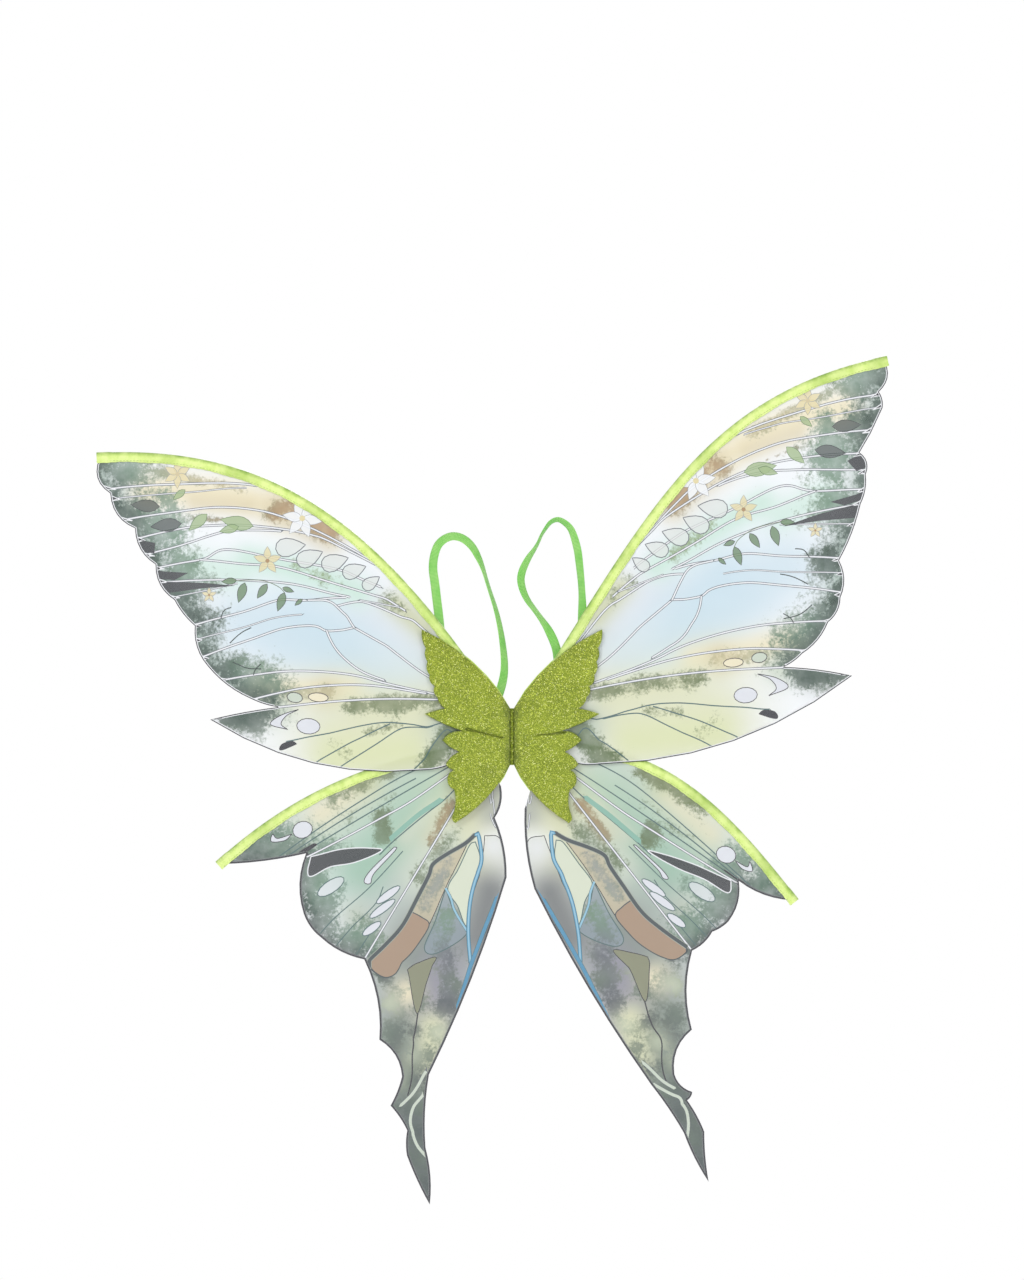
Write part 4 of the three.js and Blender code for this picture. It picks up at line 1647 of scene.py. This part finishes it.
# %% Arm loops
def strap_line(name):
    """The middle of a strap's band, from one sewn end to the other."""
    loop = plan_outline(name)
    before = loop - np.roll(loop, 1, axis=0)
    after = np.roll(loop, -1, axis=0) - loop
    turn = np.einsum("ij,ij->i", before, after) / (np.hypot(*before.T) * np.hypot(*after.T))
    corners = np.flatnonzero(turn < 0.5)
    first = next(a for a, b in zip(corners, np.roll(corners, -1)) if (b - a) % len(loop) == 1)
    loop = np.roll(loop, -int(first) - 1, axis=0)
    half = len(loop) // 2
    return (loop[:half] + loop[::-1][:half]) / 2


# How far the band is turned on edge, in degrees, at each share of its length.
STRAP_TURNS = {
    "left": [(0, 0), (0.1, 0), (0.2, 35), (0.36, 62), (0.47, 66), (0.56, 30), (0.7, 16), (0.88, 0),
             (1, 0)],
    "right": [(0, 0), (0.1, 0), (0.2, 40), (0.34, 30), (0.46, 60), (0.55, 72), (0.66, 30), (0.8, 55),
              (0.9, 0), (1, 0)],
}
STRAP_SECTION = [(-1, 0), (-0.94, 0.8), (-0.5, 1), (0, 0.86), (0.5, 1), (0.94, 0.8),
                 (1, 0), (0.94, -0.8), (0.5, -1), (0, -0.86), (-0.5, -1), (-0.94, -0.8)]
STRAP_BULGE = 4.6
STRAP_HALF_WIDTH = 4.0
STRAP_HALF_THICK = 0.4


def weave_strap(name):
    line = respaced(smooth(strap_line(name + "_strap"), 4), 2.0)
    far = walk(line)
    share = far / far[-1]
    keys = np.array(STRAP_TURNS[name], dtype=float)
    lean = np.radians(np.interp(share, *smooth(keys, 6).T))
    low, high = box_mm(name + "_strap")
    bulge = STRAP_BULGE * eased(share, 0.1, 0.3) * (1 - eased(share, 0.7, 0.9))
    outs, heights = [], []
    for wide, thick in STRAP_SECTION:
        wide, thick = wide * STRAP_HALF_WIDTH, thick * STRAP_HALF_THICK
        outs.append(wide * np.cos(lean) - thick * np.sin(lean))
        deep = wide * np.sin(lean) + thick * np.cos(lean)
        heights.append((low[1] + high[1]) / 2 + bulge + deep * SIDES[name])
    rows = stations(line, crosswise(line), outs, heights)
    strap = loft(name + "_arm_loop", rows, "elastic", True)
    widths = [wide * STRAP_HALF_WIDTH for wide, _ in STRAP_SECTION]
    give_values(strap, "along", np.repeat(far, len(widths)) * MM)
    give_values(strap, "across", np.tile(widths, len(line)) * MM)
    attach(strap, name + "_half", [name + "_strap"])
    print(strap.name, "length mm:", round(far[-1]))


for name in SIDES:
    weave_strap(name)

# %% Bar tacks
ZIGZAGS = 24


def bar_tack(node, body):
    """A dense zigzag of thread along the long way of the tack's own frame piece."""
    low, high = box_mm(node)
    centre = (low + high) / 2
    outline = plan_outline(node)
    sides = np.roll(outline, -1, axis=0) - outline
    long_way = max(sides, key=lambda side: math.hypot(*side))
    cross = np.array([-long_way[1], long_way[0]]) / math.hypot(*long_way)
    zigzag = []
    for i in range(ZIGZAGS + 1):
        along = long_way * (i / ZIGZAGS - 0.5) * 0.94
        spot = centre[[0, 2]] + along + cross * (0.8 if i % 2 else -0.8)
        zigzag.append((spot[0], centre[1], spot[1]))
    sew(node + "_stitches", [np.array(zigzag)], body, [node], 0.55, 0.42, 0.22)


TACKS = [f"{name}_strap_{end}_tack" for name in SIDES for end in ("outer", "inner")]
for node in TACKS:
    bar_tack(node, node.split("_")[0] + "_half")
print("bar tacks:", len(TACKS))

# %% [markdown]
# Seams hold the soft parts together: a running stitch just inside each patch's edge, and two
# rows down the back tape. The rods and their end caps are hidden in the casings. Their frame
# pieces have the right shape, so they stay and only take a better finish.

# %% Patch seams, rods and caps
SEAM_INSET = 2.2
TAPE_SEAM = 3.6


def patch_seam(name):
    outline = plan_outline(name + "_front_patch")
    rims = (respaced(beside(closed_rim(outline, 2), way * SEAM_INSET), 2.0) for way in (-1, 1))
    rim = max(rims, key=lambda line: inside(line, outline).mean())
    _, high = box_mm(name + "_back_patch")
    return [np.column_stack([rim[:, 0], np.full(len(rim), high[1] + 0.05), rim[:, 1]])]


def tape_seams():
    low, high = box_mm("spine_tape")
    rise = np.linspace(low[2] + 1.5, high[2] - 1.5, 20)
    return [np.column_stack([np.full(20, x), np.full(20, high[1] - 0.02), rise])
            for x in (-TAPE_SEAM, TAPE_SEAM)]


for name in SIDES:
    sew(name + "_lining_stitches", patch_seam(name), name + "_half", (), 3.2, 1.1, 0.24)
sew("back_tape_stitches", tape_seams(), "spine", (), 2.6, 0.9, 0.24)

for node_name, node in frame["nodes"].items():
    finish = "rod" if node_name.endswith("_rod") else "cap" if node_name.endswith("_cap") else None
    if finish:
        node.data.materials.clear()
        node.data.materials.append(MATERIAL[finish])
print("rods and caps finished")

# %% Floor
FLOOR_HALF_WIDTH = 20
FLOOR_FRONT = -24
FLOOR_BACK = 0.68
FLOOR_HEIGHT = -0.56
corners = [(side * FLOOR_HALF_WIDTH, y, FLOOR_HEIGHT)
           for side, y in ((-1, FLOOR_FRONT), (1, FLOOR_FRONT), (1, FLOOR_BACK), (-1, FLOOR_BACK))]
floor = new_object("floor", corners, [(0, 1, 2, 3)], "floor", False)
